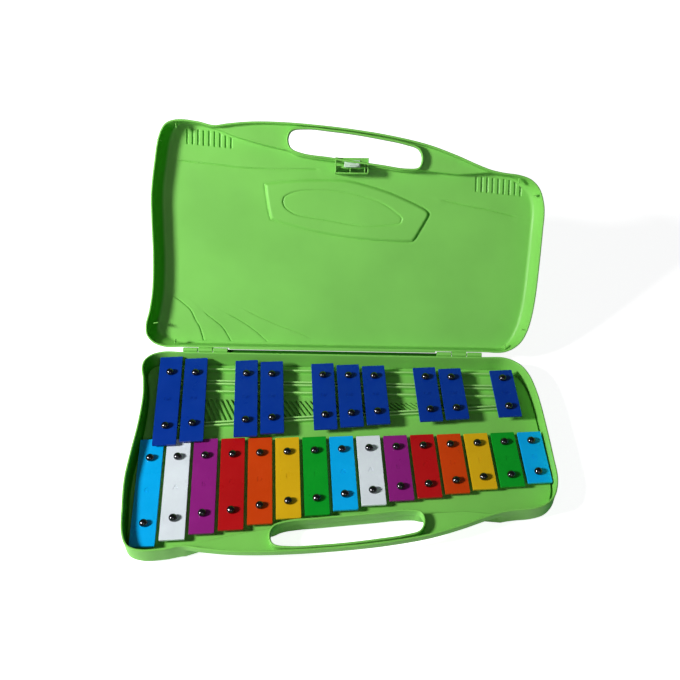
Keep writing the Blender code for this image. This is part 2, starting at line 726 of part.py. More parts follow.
def vent_cutters():
    """A row of short grooves beside each front corner of the lid."""
    bm = bmesh.new()
    front_left, front_right = REAR_Y - DEPTH_LEFT, REAR_Y - DEPTH_RIGHT
    left_start = -CASE_WIDTH / 2 + TAPER_FRONT_LEFT + 24.0
    right_start = CASE_WIDTH / 2 - TAPER_REAR_RIGHT - 62.0
    for start, low, slope in ((left_start, front_left + 9.0, 0.13), (right_start, front_right + 4.0, 0.13)):
        for index in range(VENT_COUNT):
            x = start + VENT_PITCH * index
            y = low + slope * VENT_PITCH * index
            outline = [(x, y), (x + VENT_WIDTH, y), (x + VENT_WIDTH, y + VENT_LENGTH), (x, y + VENT_LENGTH)]
            add_plate(bm, [outline], FLOOR - VENT_DEPTH, FLOOR + 1.0)
    return bm


def shield_outline():
    """The raised shield in the middle of the lid's panel."""
    y = REAR_Y
    return [Vector(p) for p in ((-88.0, y - 179.0), (-81.0, y - 140.0), (-40.0, y - 128.5), (0.0, y - 121.5),
                                (40.0, y - 118.0), (72.0, y - 117.0), (82.0, y - 127.0), (93.0, y - 150.0),
                                (62.0, y - 166.0), (34.0, y - 176.0), (3.0, y - 182.0), (-40.0, y - 183.0))]


def shield(grow, low, high):
    """The shield as a low frustum, wider at its low end."""
    points = shield_outline()[::-1]
    if sum(a.x * b.y - b.x * a.y for a, b in zip(points, points[1:] + points[:1])) < 0:
        points = points[::-1]
    bm = bmesh.new()
    wide = ring(bm, inset(points, -grow), low)
    narrow = ring(bm, inset(points, SHIELD_SLOPE - grow), high)
    bridge(bm, wide, narrow)
    bm.faces.new(wide)
    bm.faces.new(narrow)
    return bm


def housing_walls():
    """The latch's box in the lid, open towards the tray, with two ledges for the slider."""
    parts = []
    low, high = FLOOR - 0.8, LID_HEIGHT - HOUSING_TOP_DROP
    left, right = HOUSING_X - HOUSING_WIDTH / 2, HOUSING_X + HOUSING_WIDTH / 2
    rear = HOUSING_REAR_Y
    front = rear - HOUSING_DEPTH
    walls = bmesh.new()
    ledge_top = LID_HEIGHT - SLIDER_DROP - SLIDER_THICKNESS - GAP
    outer = [(left, front), (right, front), (right, rear), (left, rear)]
    w = HOUSING_WALL
    inner = [(left + w, front + w), (right - w, front + w), (right - w, rear - w), (left + w, rear - w)]
    add_plate(walls, [outer, inner], low, high)
    parts.append(("housing_walls", walls))
    ledges = bmesh.new()
    add_box(ledges, (left + 0.7, SLIDER_REAR_Y - 1.5, ledge_top - LEDGE),
            (right - 0.7, SLIDER_REAR_Y + 1.0, ledge_top))
    parts.append(("housing_ledge_rear", ledges))
    front_ledge = bmesh.new()
    add_box(front_ledge, (left + 0.7, front + 0.7, ledge_top - LEDGE),
            (right - 0.7, SLIDER_REAR_Y - SLIDER_DEPTH + 1.5, ledge_top))
    parts.append(("housing_ledge_front", front_ledge))
    return parts


def make_lid(group, tools):
    """The upper half of the case, open at rest, with the latch's housing."""
    lid = object_from(to_lid(half_shell(LID_HEIGHT, LID_END_SLOPE)), "lid", group, material("case_plastic", CASE_GREEN, 0.45))
    lid.location = (0.0, HINGE_Y * MM, PARTING_Z * MM)
    lid.rotation_euler = (-LID_OPEN, 0.0, 0.0)
    collar, slot = handle_collar(LID_HEIGHT)
    combine(lid, lid_tool(to_lid(collar), "lid_collar", tools, lid), "UNION")
    combine(lid, lid_tool(to_lid(shield(0.0, FLOOR - 0.8, FLOOR + SHIELD_RISE)), "shield", tools, lid), "UNION")
    combine(lid, lid_tool(to_lid(shield(FLOOR * 0.6, -1.0, SHIELD_RISE)), "shield_back", tools, lid), "DIFFERENCE")
    for name, part in housing_walls():
        combine(lid, lid_tool(to_lid(part), name, tools, lid), "UNION")
    for place, middle in (("left", HINGE_LEFT_X), ("right", HINGE_RIGHT_X)):
        (start, end), = knuckles(middle, 1)
        web = bmesh.new()
        add_box(web, (start, -HINGE_BACK - 1.2, 0.8), (end, 0.0, 7.0))
        combine(lid, lid_tool(web, f"lid_web_{place}", tools, lid), "UNION")
        barrel = bmesh.new()
        add_bar_along_x(barrel, KNUCKLE_RADIUS, start + 0.05, end - 0.05, 0.0, 0.0, 16)
        combine(lid, lid_tool(barrel, f"lid_barrel_{place}", tools, lid), "UNION")
        stop = bmesh.new()
        add_box(stop, (start + 1.0, -HINGE_BACK + GAP, -STOP_DROP), (end - 1.0, 0.0, -1.0))
        bmesh.ops.rotate(stop, verts=stop.verts, matrix=Matrix.Rotation(LID_OPEN, 3, "X"))
        combine(lid, lid_tool(stop, f"lid_stop_{place}", tools, lid), "UNION")
    combine(lid, lid_tool(to_lid(slot), "lid_slot", tools, lid), "DIFFERENCE")
    combine(lid, lid_tool(to_lid(vent_cutters()), "vents", tools, lid), "DIFFERENCE")
    window = bmesh.new()
    reach = SLIDER_LENGTH / 2 + 2 * GAP
    add_box(window, (SLIDER_X - reach - LATCH_TRAVEL, SLIDER_REAR_Y - SLIDER_DEPTH - 16.0 - HINGE_Y, -1.0),
            (SLIDER_X + reach, SLIDER_REAR_Y + GAP - HINGE_Y, GAP + SLIDER_DROP + SLIDER_THICKNESS + GAP))
    combine(lid, lid_tool(window, "thumb_window", tools, lid), "DIFFERENCE")
    for place, middle in (("left", HINGE_LEFT_X), ("right", HINGE_RIGHT_X)):
        bore = hinge_bore(tools, f"lid_bore_{place}", middle, 0.0, 0.0)
        bore.parent = lid
        combine(lid, bore, "DIFFERENCE")
    return lid


def make_slider(group, tools, lid):
    """The latch's sliding piece: a plate, a thumb tab in the handle's slot, and a hook."""
    rear = SLIDER_REAR_Y - HINGE_Y
    front = rear - SLIDER_DEPTH
    left, right = SLIDER_X - SLIDER_LENGTH / 2, SLIDER_X + SLIDER_LENGTH / 2
    low = GAP + SLIDER_DROP
    body = bmesh.new()
    add_box(body, (left, front, low), (right, rear, low + SLIDER_THICKNESS))
    slider = object_from(body, "latch_slider", group, material("latch_plastic", (0.62, 0.66, 0.62, 1.0), 0.5))
    slider.parent = lid
    tab = bmesh.new()
    add_box(tab, (left + 0.2, front - THUMB_REACH, low + 0.2), (right - 0.2, front + 1.0, low + SLIDER_THICKNESS - 0.2))
    combine(slider, lid_tool(tab, "thumb_tab", tools, lid), "UNION")
    hook = bmesh.new()
    stem_right = right - 1.0
    hook_rear = rear - 1.0
    add_box(hook, (stem_right - HOOK_WIDTH, hook_rear - HOOK_DEPTH, -HOOK_LENGTH),
            (stem_right, hook_rear, low + 1.0))
    combine(slider, lid_tool(hook, "hook_stem", tools, lid), "UNION")
    toe = bmesh.new()
    add_box(toe, (stem_right - HOOK_WIDTH - HOOK_REACH, hook_rear - HOOK_DEPTH + 0.1, -HOOK_LENGTH + 0.1),
            (stem_right - 1.0, hook_rear - 0.1, -HOOK_LENGTH + TOE_THICKNESS))
    combine(slider, lid_tool(toe, "hook_toe", tools, lid), "UNION")
    return slider


def make_hinge_pin(group, name, middle):
    """The steel pin through one hinge's three knuckles."""
    bm = bmesh.new()
    reach = 1.5 * KNUCKLE_LENGTH + KNUCKLE_GAP
    add_bar_along_x(bm, HINGE_PIN_RADIUS, -reach, reach, 0.0, 0.0, 12)
    pin = object_from(bm, name, group, material("steel", (0.55, 0.55, 0.56, 1.0), 0.3, 1.0))
    pin.location = (middle * MM, HINGE_Y * MM, PARTING_Z * MM)
    return pin


def shade_smooth(parts):
    for part in parts:
        part.data.shade_smooth()
        part.data.set_sharp_from_angle(angle=math.radians(35))


def main():
    clear_scene()
    parts = collection("metallophone")
    tools = collection("tools")
    tray = make_tray(parts, tools)
    bed = make_bed(parts, tools)
    for name, colour, length, top, rear, front in bars():
        make_bar(parts, name, colour, length, top, rear, front)
    lid = make_lid(parts, tools)
    make_slider(parts, tools, lid)
    left_pin = make_hinge_pin(parts, "hinge_pin_left", HINGE_LEFT_X)
    right_pin = make_hinge_pin(parts, "hinge_pin_right", HINGE_RIGHT_X)
    shade_smooth([tray, bed, lid, left_pin, right_pin])


main()
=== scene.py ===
import math

import bmesh
import bpy
import numpy as np
from mathutils import Matrix, Vector
from mathutils.geometry import delaunay_2d_cdt


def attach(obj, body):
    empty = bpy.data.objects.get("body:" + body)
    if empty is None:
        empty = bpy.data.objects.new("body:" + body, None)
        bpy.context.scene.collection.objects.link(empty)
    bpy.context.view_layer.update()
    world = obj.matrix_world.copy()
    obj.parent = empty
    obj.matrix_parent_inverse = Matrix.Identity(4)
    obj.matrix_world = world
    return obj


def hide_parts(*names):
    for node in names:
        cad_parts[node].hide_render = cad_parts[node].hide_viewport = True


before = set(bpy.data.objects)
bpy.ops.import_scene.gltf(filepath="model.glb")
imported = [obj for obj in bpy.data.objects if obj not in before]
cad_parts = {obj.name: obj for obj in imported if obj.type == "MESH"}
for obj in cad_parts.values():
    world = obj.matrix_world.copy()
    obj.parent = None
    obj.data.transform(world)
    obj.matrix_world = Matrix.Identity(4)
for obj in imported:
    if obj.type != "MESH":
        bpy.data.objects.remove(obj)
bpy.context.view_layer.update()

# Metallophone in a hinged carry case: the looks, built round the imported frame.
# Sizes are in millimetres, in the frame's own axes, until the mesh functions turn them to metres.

MM = 0.001

CASE_WIDTH = 430.0
DEPTH_LEFT, DEPTH_RIGHT = 244.9, 191.9
REAR_Y = 122.9
CORNER = 20.0
WAIST_LEFT = 8.5
TAPER_FRONT_LEFT, TAPER_REAR_RIGHT = 17.0, 9.5
WALL, WALL_DRAFT, FLOOR = 2.0, 0.4, 2.2
FOOT_ROUND = 5.0
RIM_ROUND = 0.7
INSIDE_ROUND = 2.2
TRAY_HEIGHT, LID_HEIGHT, GAP = 23.0, 20.0, 0.3
LID_SIDE_SLOPE = 9.0
HANDLE_LEFT_X, HANDLE_RIGHT_X = -140.0, 158.0
HANDLE_DEPTH, HANDLE_ROUND = 9.0, 2.5
GRIP_WIDTH = 6.0
OPENING_LEFT_X, OPENING_RIGHT_X, OPENING_HEIGHT = -60.5, 82.5, 26.0
COLLAR = 2.2
HINGE_Y, HINGE_Z = 125.6, 23.0
HINGE_BACK = 2.7
KNUCKLE_RADIUS, KNUCKLE_LENGTH, KNUCKLE_GAP = 2.4, 16.0, 0.5
HINGE_MIDDLES = {"left": -149.0, "right": 128.0}
LID_OPEN = math.radians(131.4)
STOP_DROP = 4.5
FLANGE_DROP, FLANGE_THICKNESS, FLANGE_REACH = 4.2, 1.6, 3.6

BAR_WIDTH, BAR_THICKNESS = 24.2, 2.3
LEAN = math.radians(4.55)
BAR_PITCH, SHARP_PITCH = 27.52, 27.45
LONGEST_NATURAL, LONGEST_SHARP_BASIS, PIN_SPAN = 123.7, 121.8, 0.61
NATURAL_FIRST = (-188.6, -12.6)
SHARP_FIRST_X, SHARP_PIN_Y = -184.0, 96.2
NATURAL_TOP, SHARP_TOP = 13.0, 18.0
PIN_HOLE_RADIUS = 2.3
NATURAL_NOTES = [("g5", 0), ("a5", 2), ("b5", 4), ("c6", 5), ("d6", 7), ("e6", 9), ("f6", 10), ("g6", 12),
                 ("a6", 14), ("b6", 16), ("c7", 17), ("d7", 19), ("e7", 21), ("f7", 22), ("g7", 24)]
SHARP_NOTES = [("g_sharp5", 1, 0), ("a_sharp5", 3, 1), ("c_sharp6", 6, 3), ("d_sharp6", 8, 4),
               ("f_sharp6", 11, 6), ("g_sharp6", 13, 7), ("a_sharp6", 15, 8), ("c_sharp7", 18, 10),
               ("d_sharp7", 20, 11), ("f_sharp7", 23, 13)]
SAMPLES = 8


# Outlines, as the frame's shells have them

def spline(knots, samples):
    """Points on a smooth closed curve through the knots."""
    knots = [Vector(knot) for knot in knots]
    count = len(knots)
    tangents = []
    for index, knot in enumerate(knots):
        before = (knot - knots[index - 1]).normalized()
        after = (knots[(index + 1) % count] - knot).normalized()
        tangents.append((before + after) / 2)
    points = []
    for index in range(count):
        start, end = knots[index], knots[(index + 1) % count]
        reach = (end - start).length
        leave, arrive = tangents[index] * reach, tangents[(index + 1) % count] * reach
        for sample in range(samples):
            t = sample / samples
            points.append(start * (2 * t ** 3 - 3 * t ** 2 + 1) + leave * (t ** 3 - 2 * t ** 2 + t)
                          + end * (3 * t ** 2 - 2 * t ** 3) + arrive * (t ** 3 - t ** 2))
    return points


def inset(points, distance):
    """The closed outline moved inwards, by one distance or one for each point."""
    count = len(points)
    distances = distance if isinstance(distance, list) else [distance] * count
    moved = []
    for index, point in enumerate(points):
        before = (point - points[index - 1]).normalized()
        after = (points[(index + 1) % count] - point).normalized()
        tangent = (before + after).normalized()
        normal = Vector((-tangent.y, tangent.x))
        stretch = 1.0 / max(0.5, normal.dot(Vector((-after.y, after.x))))
        moved.append(point + normal * distances[index] * stretch)
    return moved


def resample(points, count):
    """The open line's points spaced evenly along it."""
    lengths = [0.0]
    for start, end in zip(points, points[1:]):
        lengths.append(lengths[-1] + (end - start).length)
    spaced = []
    for step in range(count):
        target = lengths[-1] * step / (count - 1)
        index = max(i for i, length in enumerate(lengths) if length <= target + 1e-9)
        index = min(index, len(points) - 2)
        share = (target - lengths[index]) / (lengths[index + 1] - lengths[index])
        spaced.append(points[index].lerp(points[index + 1], share))
    return spaced


def case_sides():
    """Knots round the case from the handle's right end, past the hinge, to its left end."""
    left, right = -CASE_WIDTH / 2, CASE_WIDTH / 2
    rear, front_left, front_right = REAR_Y, REAR_Y - DEPTH_LEFT, REAR_Y - DEPTH_RIGHT
    c = CORNER
    return [
        (HANDLE_RIGHT_X, front_right - 4.0),
        (HANDLE_RIGHT_X + 12.0, front_right - 1.5),
        (right - 1.35 * c, front_right + 1.0),
        (right - 0.75 * c, front_right + 5.5),
        (right - 0.3 * c, front_right + 0.75 * c),
        (right - 1.6, front_right + 1.35 * c),
        (right, front_right + 1.9 * c),
        (right - 1.0, front_right + 60.0),
        (right - 3.2, front_right + 95.0),
        (right - 0.7 * TAPER_REAR_RIGHT, rear - 57.0),
        (right - TAPER_REAR_RIGHT, rear - 1.95 * c),
        (right - TAPER_REAR_RIGHT - 4.0, rear - 1.2 * c),
        (right - TAPER_REAR_RIGHT - 0.55 * c, rear - 0.55 * c),
        (right - TAPER_REAR_RIGHT - c, rear - 0.18 * c),
        (right - TAPER_REAR_RIGHT - 1.5 * c, rear),
        (right - TAPER_REAR_RIGHT - 2.5 * c, rear),
        (left + 2.0 * c, rear),
        (left + c, rear),
        (left + 0.4 * c, rear - 0.22 * c),
        (left + 0.06 * c, rear - 0.62 * c),
        (left, rear - 1.15 * c),
        (left + 0.45 * WAIST_LEFT, rear - 1.95 * c),
        (left + 0.85 * WAIST_LEFT, rear - 60.0),
        (left + WAIST_LEFT, rear - 98.0),
        (left + 0.85 * WAIST_LEFT, rear - 135.0),
        (left + 0.8 * WAIST_LEFT, front_left + 80.0),
        (left + 0.6 * TAPER_FRONT_LEFT, front_left + 48.0),
        (left + TAPER_FRONT_LEFT, front_left + 0.65 * c),
        (left + TAPER_FRONT_LEFT + 0.3 * c, front_left + 0.2 * c),
        (left + TAPER_FRONT_LEFT + 0.85 * c, front_left),
        (left + TAPER_FRONT_LEFT + 2.0 * c, front_left + 1.6),
        (HANDLE_LEFT_X, front_left + 5.5),
    ]


def handle_front():
    """Knots of the handle's outer edge, a long bow from left to right."""
    front_left, front_right = REAR_Y - DEPTH_LEFT, REAR_Y - DEPTH_RIGHT
    fall = front_right - front_left
    return [
        (HANDLE_LEFT_X + 14.0, front_left + 3.6),
        (HANDLE_LEFT_X + 38.0, front_left + 1.4),
        (HANDLE_LEFT_X + 68.0, front_left + 1.3),
        (HANDLE_LEFT_X + 105.0, front_left + 3.5),
        (HANDLE_LEFT_X + 148.0, front_left + 0.15 * fall),
        (HANDLE_LEFT_X + 190.0, front_left + 0.27 * fall),
        (HANDLE_LEFT_X + 230.0, front_left + 0.44 * fall),
        (HANDLE_RIGHT_X - 38.0, front_left + 0.64 * fall),
        (HANDLE_RIGHT_X - 14.0, front_left + 0.83 * fall),
    ]


def opening_outline(grow=0.0, samples=2):
    """The slot through the handle, with a rounded end each side."""
    front_left, front_right = REAR_Y - DEPTH_LEFT, REAR_Y - DEPTH_RIGHT
    slope = (front_right - front_left) / (CASE_WIDTH - TAPER_FRONT_LEFT)
    low = front_left + GRIP_WIDTH + 1.5
    length = OPENING_RIGHT_X - OPENING_LEFT_X
    def front(share):
        bow = 3.6 * math.sin(math.pi * share)
        return low + slope * length * share * 1.08 - bow
    def rear(share):
        return front(share) + OPENING_HEIGHT - 2.0 + 4.0 * math.sin(math.pi * share) - 1.0 * share
    x = OPENING_LEFT_X
    mid = OPENING_HEIGHT / 2
    knots = [(x + length * share, front(share)) for share in (0.13, 0.32, 0.5, 0.7, 0.88)]
    knots += [
        (OPENING_RIGHT_X - 3.5, front(0.95) + 3.0),
        (OPENING_RIGHT_X, front(1.0) + mid - 2.0),
        (OPENING_RIGHT_X - 3.0, rear(0.96) - 2.6),
    ]
    knots += [(x + length * share, rear(share)) for share in (0.9, 0.7, 0.5, 0.3, 0.1)]
    knots += [
        (x + 3.2, rear(0.0) - 3.0),
        (x, front(0.0) + mid - 1.0),
        (x + 3.4, front(0.03) + 3.4),
    ]
    points = spline(knots, samples)
    return inset(points, -grow) if grow else points


def case_loops(samples=SAMPLES):
    """Full and deep outlines with matching points, and how far along the handle each point is."""
    sides = case_sides()
    handle = handle_front()
    full = spline(sides + handle, samples)
    side_count = (len(sides) - 1) * samples + 1
    handle_count = len(full) - side_count
    start, end = full[side_count - 1], full[0]
    rear_edge = [Vector(point) for point in opening_outline(grow=0.9)]
    behind = sorted((p for p in rear_edge if p.y > opening_middle(p.x)), key=lambda p: p.x)
    crease = [start, start + Vector((22.0, 8.5)), start + Vector((50.0, 16.5)),
              Vector((OPENING_LEFT_X + 1.0, behind[0].y + 4.0))]
    crease += behind[1:-1]
    crease += [Vector((OPENING_RIGHT_X + 5.0, behind[-2].y + 0.4)), end + Vector((-36.0, 2.6)), end]
    steps = resample(crease, handle_count + 2)
    deep = full[:side_count] + steps[1:-1]
    share = [0.0] * side_count
    share += [math.sin(math.pi * (i + 1) / (handle_count + 1)) ** 0.5 for i in range(handle_count)]
    return full, deep, share


def opening_middle(x):
    """The slot's middle line, at one x."""
    front_left, front_right = REAR_Y - DEPTH_LEFT, REAR_Y - DEPTH_RIGHT
    slope = (front_right - front_left) / (CASE_WIDTH - TAPER_FRONT_LEFT)
    return front_left + GRIP_WIDTH + 2.5 + OPENING_HEIGHT / 2 + slope * (x - OPENING_LEFT_X)


# Meshes

def new_object(bm, name, body, *skins, smooth=35.0):
    """A shown piece from a bmesh, riding on one body."""
    bmesh.ops.recalc_face_normals(bm, faces=bm.faces)
    mesh = bpy.data.meshes.new(name)
    bm.to_mesh(mesh)
    bm.free()
    for skin in skins:
        mesh.materials.append(skin)
    thing = bpy.data.objects.new(name, mesh)
    bpy.context.scene.collection.objects.link(thing)
    mesh.shade_smooth()
    mesh.set_sharp_from_angle(angle=math.radians(smooth))
    if body:
        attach(thing, body)
    return thing


def bridge(bm, lower, upper):
    """Faces between two rings, none where they share a vertex."""
    count = len(lower)
    for index in range(count):
        after = (index + 1) % count
        face = []
        for corner in (lower[index], lower[after], upper[after], upper[index]):
            if corner not in face:
                face.append(corner)
        if len(face) > 2:
            bm.faces.new(face)


def ring(bm, points, height, shared=None):
    """A ring of vertices at one height, or at one height for each point."""
    heights = height if isinstance(height, list) else [height] * len(points)
    verts = []
    for index, point in enumerate(points):
        if shared and shared[index] is not None:
            verts.append(shared[index])
        else:
            verts.append(bm.verts.new((point.x * MM, point.y * MM, heights[index] * MM)))
    return verts


def loft(bm, rings):
    for lower, upper in zip(rings, rings[1:]):
        bridge(bm, lower, upper)


def plate(loops, low, high):
    """A flat plate with its holes, from a filled 2D curve."""
    curve = bpy.data.curves.new("plate", "CURVE")
    curve.dimensions = "2D"
    curve.fill_mode = "BOTH"
    curve.extrude = (high - low) / 2 * MM
    for loop in loops:
        line = curve.splines.new("POLY")
        line.points.add(len(loop) - 1)
        for knot, point in zip(line.points, loop):
            knot.co = (point[0] * MM, point[1] * MM, 0.0, 1.0)
        line.use_cyclic_u = True
    return curve_mesh(curve, (low + high) / 2)


def curve_mesh(curve, lift):
    """A bmesh from a curve or text, lifted by some millimetres."""
    holder = bpy.data.objects.new("holder", curve)
    bpy.context.scene.collection.objects.link(holder)
    graph = bpy.context.evaluated_depsgraph_get()
    mesh = bpy.data.meshes.new_from_object(holder.evaluated_get(graph))
    bpy.data.objects.remove(holder, do_unlink=True)
    bm = bmesh.new()
    bm.from_mesh(mesh)
    bpy.data.meshes.remove(mesh)
    bmesh.ops.remove_doubles(bm, verts=bm.verts, dist=1e-6)
    bmesh.ops.translate(bm, verts=bm.verts, vec=(0.0, 0.0, lift * MM))
    return bm


def add_box(bm, low, high, bevel=0.0):
    """A box between two corners, with rounded edges."""
    made = bmesh.ops.create_cube(bm, size=1.0)["verts"]
    for vert in made:
        vert.co = Vector([(a + b) / 2 * MM + c * (b - a) * MM for a, b, c in zip(low, high, vert.co)])
    if bevel:
        edges = {edge for vert in made for edge in vert.link_edges}
        bmesh.ops.bevel(bm, geom=list(edges), offset=bevel * MM, segments=3, profile=0.5, affect="EDGES")


def cut(target, tool, operation="DIFFERENCE"):
    """A Boolean, applied at once."""
    modifier = target.modifiers.new("cut", "BOOLEAN")
    modifier.operation = operation
    modifier.solver = "EXACT"
    modifier.object = tool
    graph = bpy.context.evaluated_depsgraph_get()
    mesh = bpy.data.meshes.new_from_object(target.evaluated_get(graph))
    target.modifiers.clear()
    old = target.data
    target.data = mesh
    bpy.data.meshes.remove(old)
    bpy.data.objects.remove(tool, do_unlink=True)


def mix_loops(sides, handle, on_side):
    return [a if side else b for a, b, side in zip(sides, handle, on_side)]


def round_steps(count):
    """Sine and cosine pairs that turn a corner through a right angle."""
    return [(math.sin(math.pi / 2 * i / count), math.cos(math.pi / 2 * i / count)) for i in range(count + 1)]


def side_slope(points, reach):
    """How far the lid's side has leant in at the foot, at each point: only at the two ends."""
    slopes = []
    for point in points:
        share = min(1.0, max(0.0, (abs(point.x) - 175.0) / 28.0))
        slopes.append(reach * share * share * (3 - 2 * share))
    return slopes


def shell(height, slope_reach):
    """One half of the case as an open dish, foot at 0, with its inner floor left open.

    Returns the bmesh and the inner floor's edge as points."""
    full, deep, share = case_loops()
    bm = bmesh.new()
    shelf = height - HANDLE_DEPTH
    on_side = [part == 0.0 for part in share]
    slopes = side_slope(deep, slope_reach)

    def lean(base, level):
        """Insets at a level between the foot and the handle's shelf."""
        part = 1.0 - level / shelf
        return [base + slope * part for slope in slopes]

    outer = []
    for turn, rest in round_steps(5):
        level = FOOT_ROUND * (1 - rest)
        outer.append(ring(bm, inset(deep, lean(WALL_DRAFT + FOOT_ROUND * (1 - turn), level)), level))
    knee_points = mix_loops(inset(full, WALL_DRAFT), inset(deep, WALL_DRAFT), on_side)
    knee = ring(bm, knee_points, shelf)
    keep = [vert if side else None for vert, side in zip(knee, on_side)]
    outer.append(knee)
    for turn, rest in round_steps(4):
        level = [shelf + HANDLE_ROUND * (1 - rest)] * len(full)
        points = inset(full, [WALL_DRAFT + part * HANDLE_ROUND * (1 - turn) for part in share])
        outer.append(ring(bm, points, level, keep if turn == 0 else None))
    for turn, rest in round_steps(4):
        outer.append(ring(bm, inset(full, RIM_ROUND * (1 - rest)), height - RIM_ROUND * (1 - turn)))
    bm.faces.new(outer[0])
    for turn, rest in round_steps(4):
        outer.append(ring(bm, inset(full, WALL - RIM_ROUND * (1 - turn)), height - RIM_ROUND * (1 - rest)))
    inner = WALL + WALL_DRAFT
    inner_full, inner_deep = inset(full, inner), inset(deep, inner)
    tread = ring(bm, mix_loops(inner_full, inset(full, inner + 0.4), on_side), shelf + FLOOR)
    keep = [vert if side else None for vert, side in zip(tread, on_side)]
    lip = ring(bm, mix_loops(inner_full, inset(deep, inner - 0.8), on_side), shelf + FLOOR, keep)
    step = ring(bm, mix_loops(inner_full, inner_deep, on_side), shelf + FLOOR - 0.8, keep)
    outer += [tread, lip, step]
    for turn, rest in round_steps(5):
        level = FLOOR + INSIDE_ROUND * (1 - turn)
        points = inset(deep, lean(inner + 0.2 + INSIDE_ROUND * (1 - rest), level))
        outer.append(ring(bm, points, level))
    loft(bm, outer)
    edge = [vert.co.xy / MM for vert in outer[-1]]
    return bm, edge


def relief_panel(edge, level, relief, spacing, lines=()):
    """A flat, finely divided panel inside the edge, raised by the relief function."""
    loop = [Vector(point) for point in edge]
    polygon = np.array(loop)
    low, high = polygon.min(0), polygon.max(0)
    xs = np.arange(low[0], high[0], spacing)
    ys = np.arange(low[1], high[1], spacing * 0.87)
    grid = [(x + (row % 2) * spacing / 2, y) for row, y in enumerate(ys) for x in xs]
    points = np.array(grid)
    closed = np.vstack([polygon, polygon[:1]])
    inside = within(points, polygon) & (distance_to(points, closed) > spacing * 0.6)
    extra = np.array([p for line in lines for p in line]) if lines else np.zeros((0, 2))
    if len(extra):
        near = distance_to(extra, closed) > 0.5
        extra = extra[within(extra, polygon) & near]
    inner = np.vstack([points[inside], extra])
    verts = [Vector(p) for p in polygon] + [Vector(p) for p in inner]
    count = len(polygon)
    ring_edges = [(i, (i + 1) % count) for i in range(count)]
    made = delaunay_2d_cdt(verts, ring_edges, [], 1, 1e-5)
    flat = np.array([tuple(v) for v in made[0]])
    heights = level + relief(flat)
    bm = bmesh.new()
    placed = [bm.verts.new((x * MM, y * MM, z * MM)) for (x, y), z in zip(flat, heights)]
    for face in made[2]:
        bm.faces.new([placed[i] for i in face])
    return bm


def within(points, polygon):
    """Which points lie inside the polygon."""
    result = np.zeros(len(points), bool)
    x, y = points[:, 0], points[:, 1]
    for (x1, y1), (x2, y2) in zip(polygon, np.roll(polygon, -1, axis=0)):
        crosses = (y1 > y) != (y2 > y)
        if y1 != y2:
            result ^= crosses & (x < (x2 - x1) * (y - y1) / (y2 - y1) + x1)
    return result


def distance_to(points, line):
    """Distance from each point to an open line of points."""
    best = np.full(len(points), 1e9)
    line = np.asarray(line, float)
    for a, b in zip(line, line[1:]):
        along = b - a
        t = np.clip(((points - a) @ along) / max(along @ along, 1e-12), 0, 1)
        best = np.minimum(best, np.hypot(*(points - a - t[:, None] * along).T))
    return best


def smooth(value, low, high):
    share = np.clip((value - low) / (high - low), 0, 1)
    return share * share * (3 - 2 * share)


def rounded_line(knots, steps=6):
    """Points on a smooth open line through the knots."""
    knots = [Vector(k) for k in knots]
    ends = [knots[0] * 2 - knots[1]] + knots + [knots[-1] * 2 - knots[-2]]
    points = []
    for index in range(1, len(ends) - 2):
        a, b, c, d = ends[index - 1:index + 3]
        for step in range(steps):
            t = step / steps
            points.append(0.5 * ((2 * b) + (c - a) * t + (2 * a - 5 * b + 4 * c - d) * t * t
                                 + (3 * b - a - 3 * c + d) * t ** 3))
    return points + [knots[-1]]


# Materials

def shader_nodes(name):
    made = bpy.data.materials.new(name)
    made.use_nodes = True
    nodes, links = made.node_tree.nodes, made.node_tree.links
    return made, nodes, links, nodes["Principled BSDF"]


def noise(nodes, links, scale, detail, low, high, source="Object", stretch=None):
    """Noise in the piece's own space, mapped to a range."""
    place = nodes.new("ShaderNodeTexCoord")
    texture = nodes.new("ShaderNodeTexNoise")
    texture.inputs["Scale"].default_value = scale
    texture.inputs["Detail"].default_value = detail
    out = place.outputs[source]
    if stretch:
        mapping = nodes.new("ShaderNodeMapping")
        mapping.inputs["Scale"].default_value = stretch
        links.new(out, mapping.inputs["Vector"])
        out = mapping.outputs["Vector"]
    links.new(out, texture.inputs["Vector"])
    spread = nodes.new("ShaderNodeMapRange")
    spread.inputs["From Min"].default_value = 0.3
    spread.inputs["From Max"].default_value = 0.7
    spread.inputs["To Min"].default_value = low
    spread.inputs["To Max"].default_value = high
    links.new(texture.outputs["Fac"], spread.inputs["Value"])
    return spread.outputs["Result"]


def tint(nodes, links, shader, dark, light, factor):
    mix = nodes.new("ShaderNodeMix")
    mix.data_type = "RGBA"
    mix.inputs["A"].default_value = (*dark, 1.0)
    mix.inputs["B"].default_value = (*light, 1.0)
    links.new(factor, mix.inputs["Factor"])
    links.new(mix.outputs["Result"], shader.inputs["Base Color"])


def bump(nodes, links, shader, height, distance, strength):
    node = nodes.new("ShaderNodeBump")
    node.inputs["Distance"].default_value = distance
    node.inputs["Strength"].default_value = strength
    links.new(height, node.inputs["Height"])
    links.new(node.outputs["Normal"], shader.inputs["Normal"])


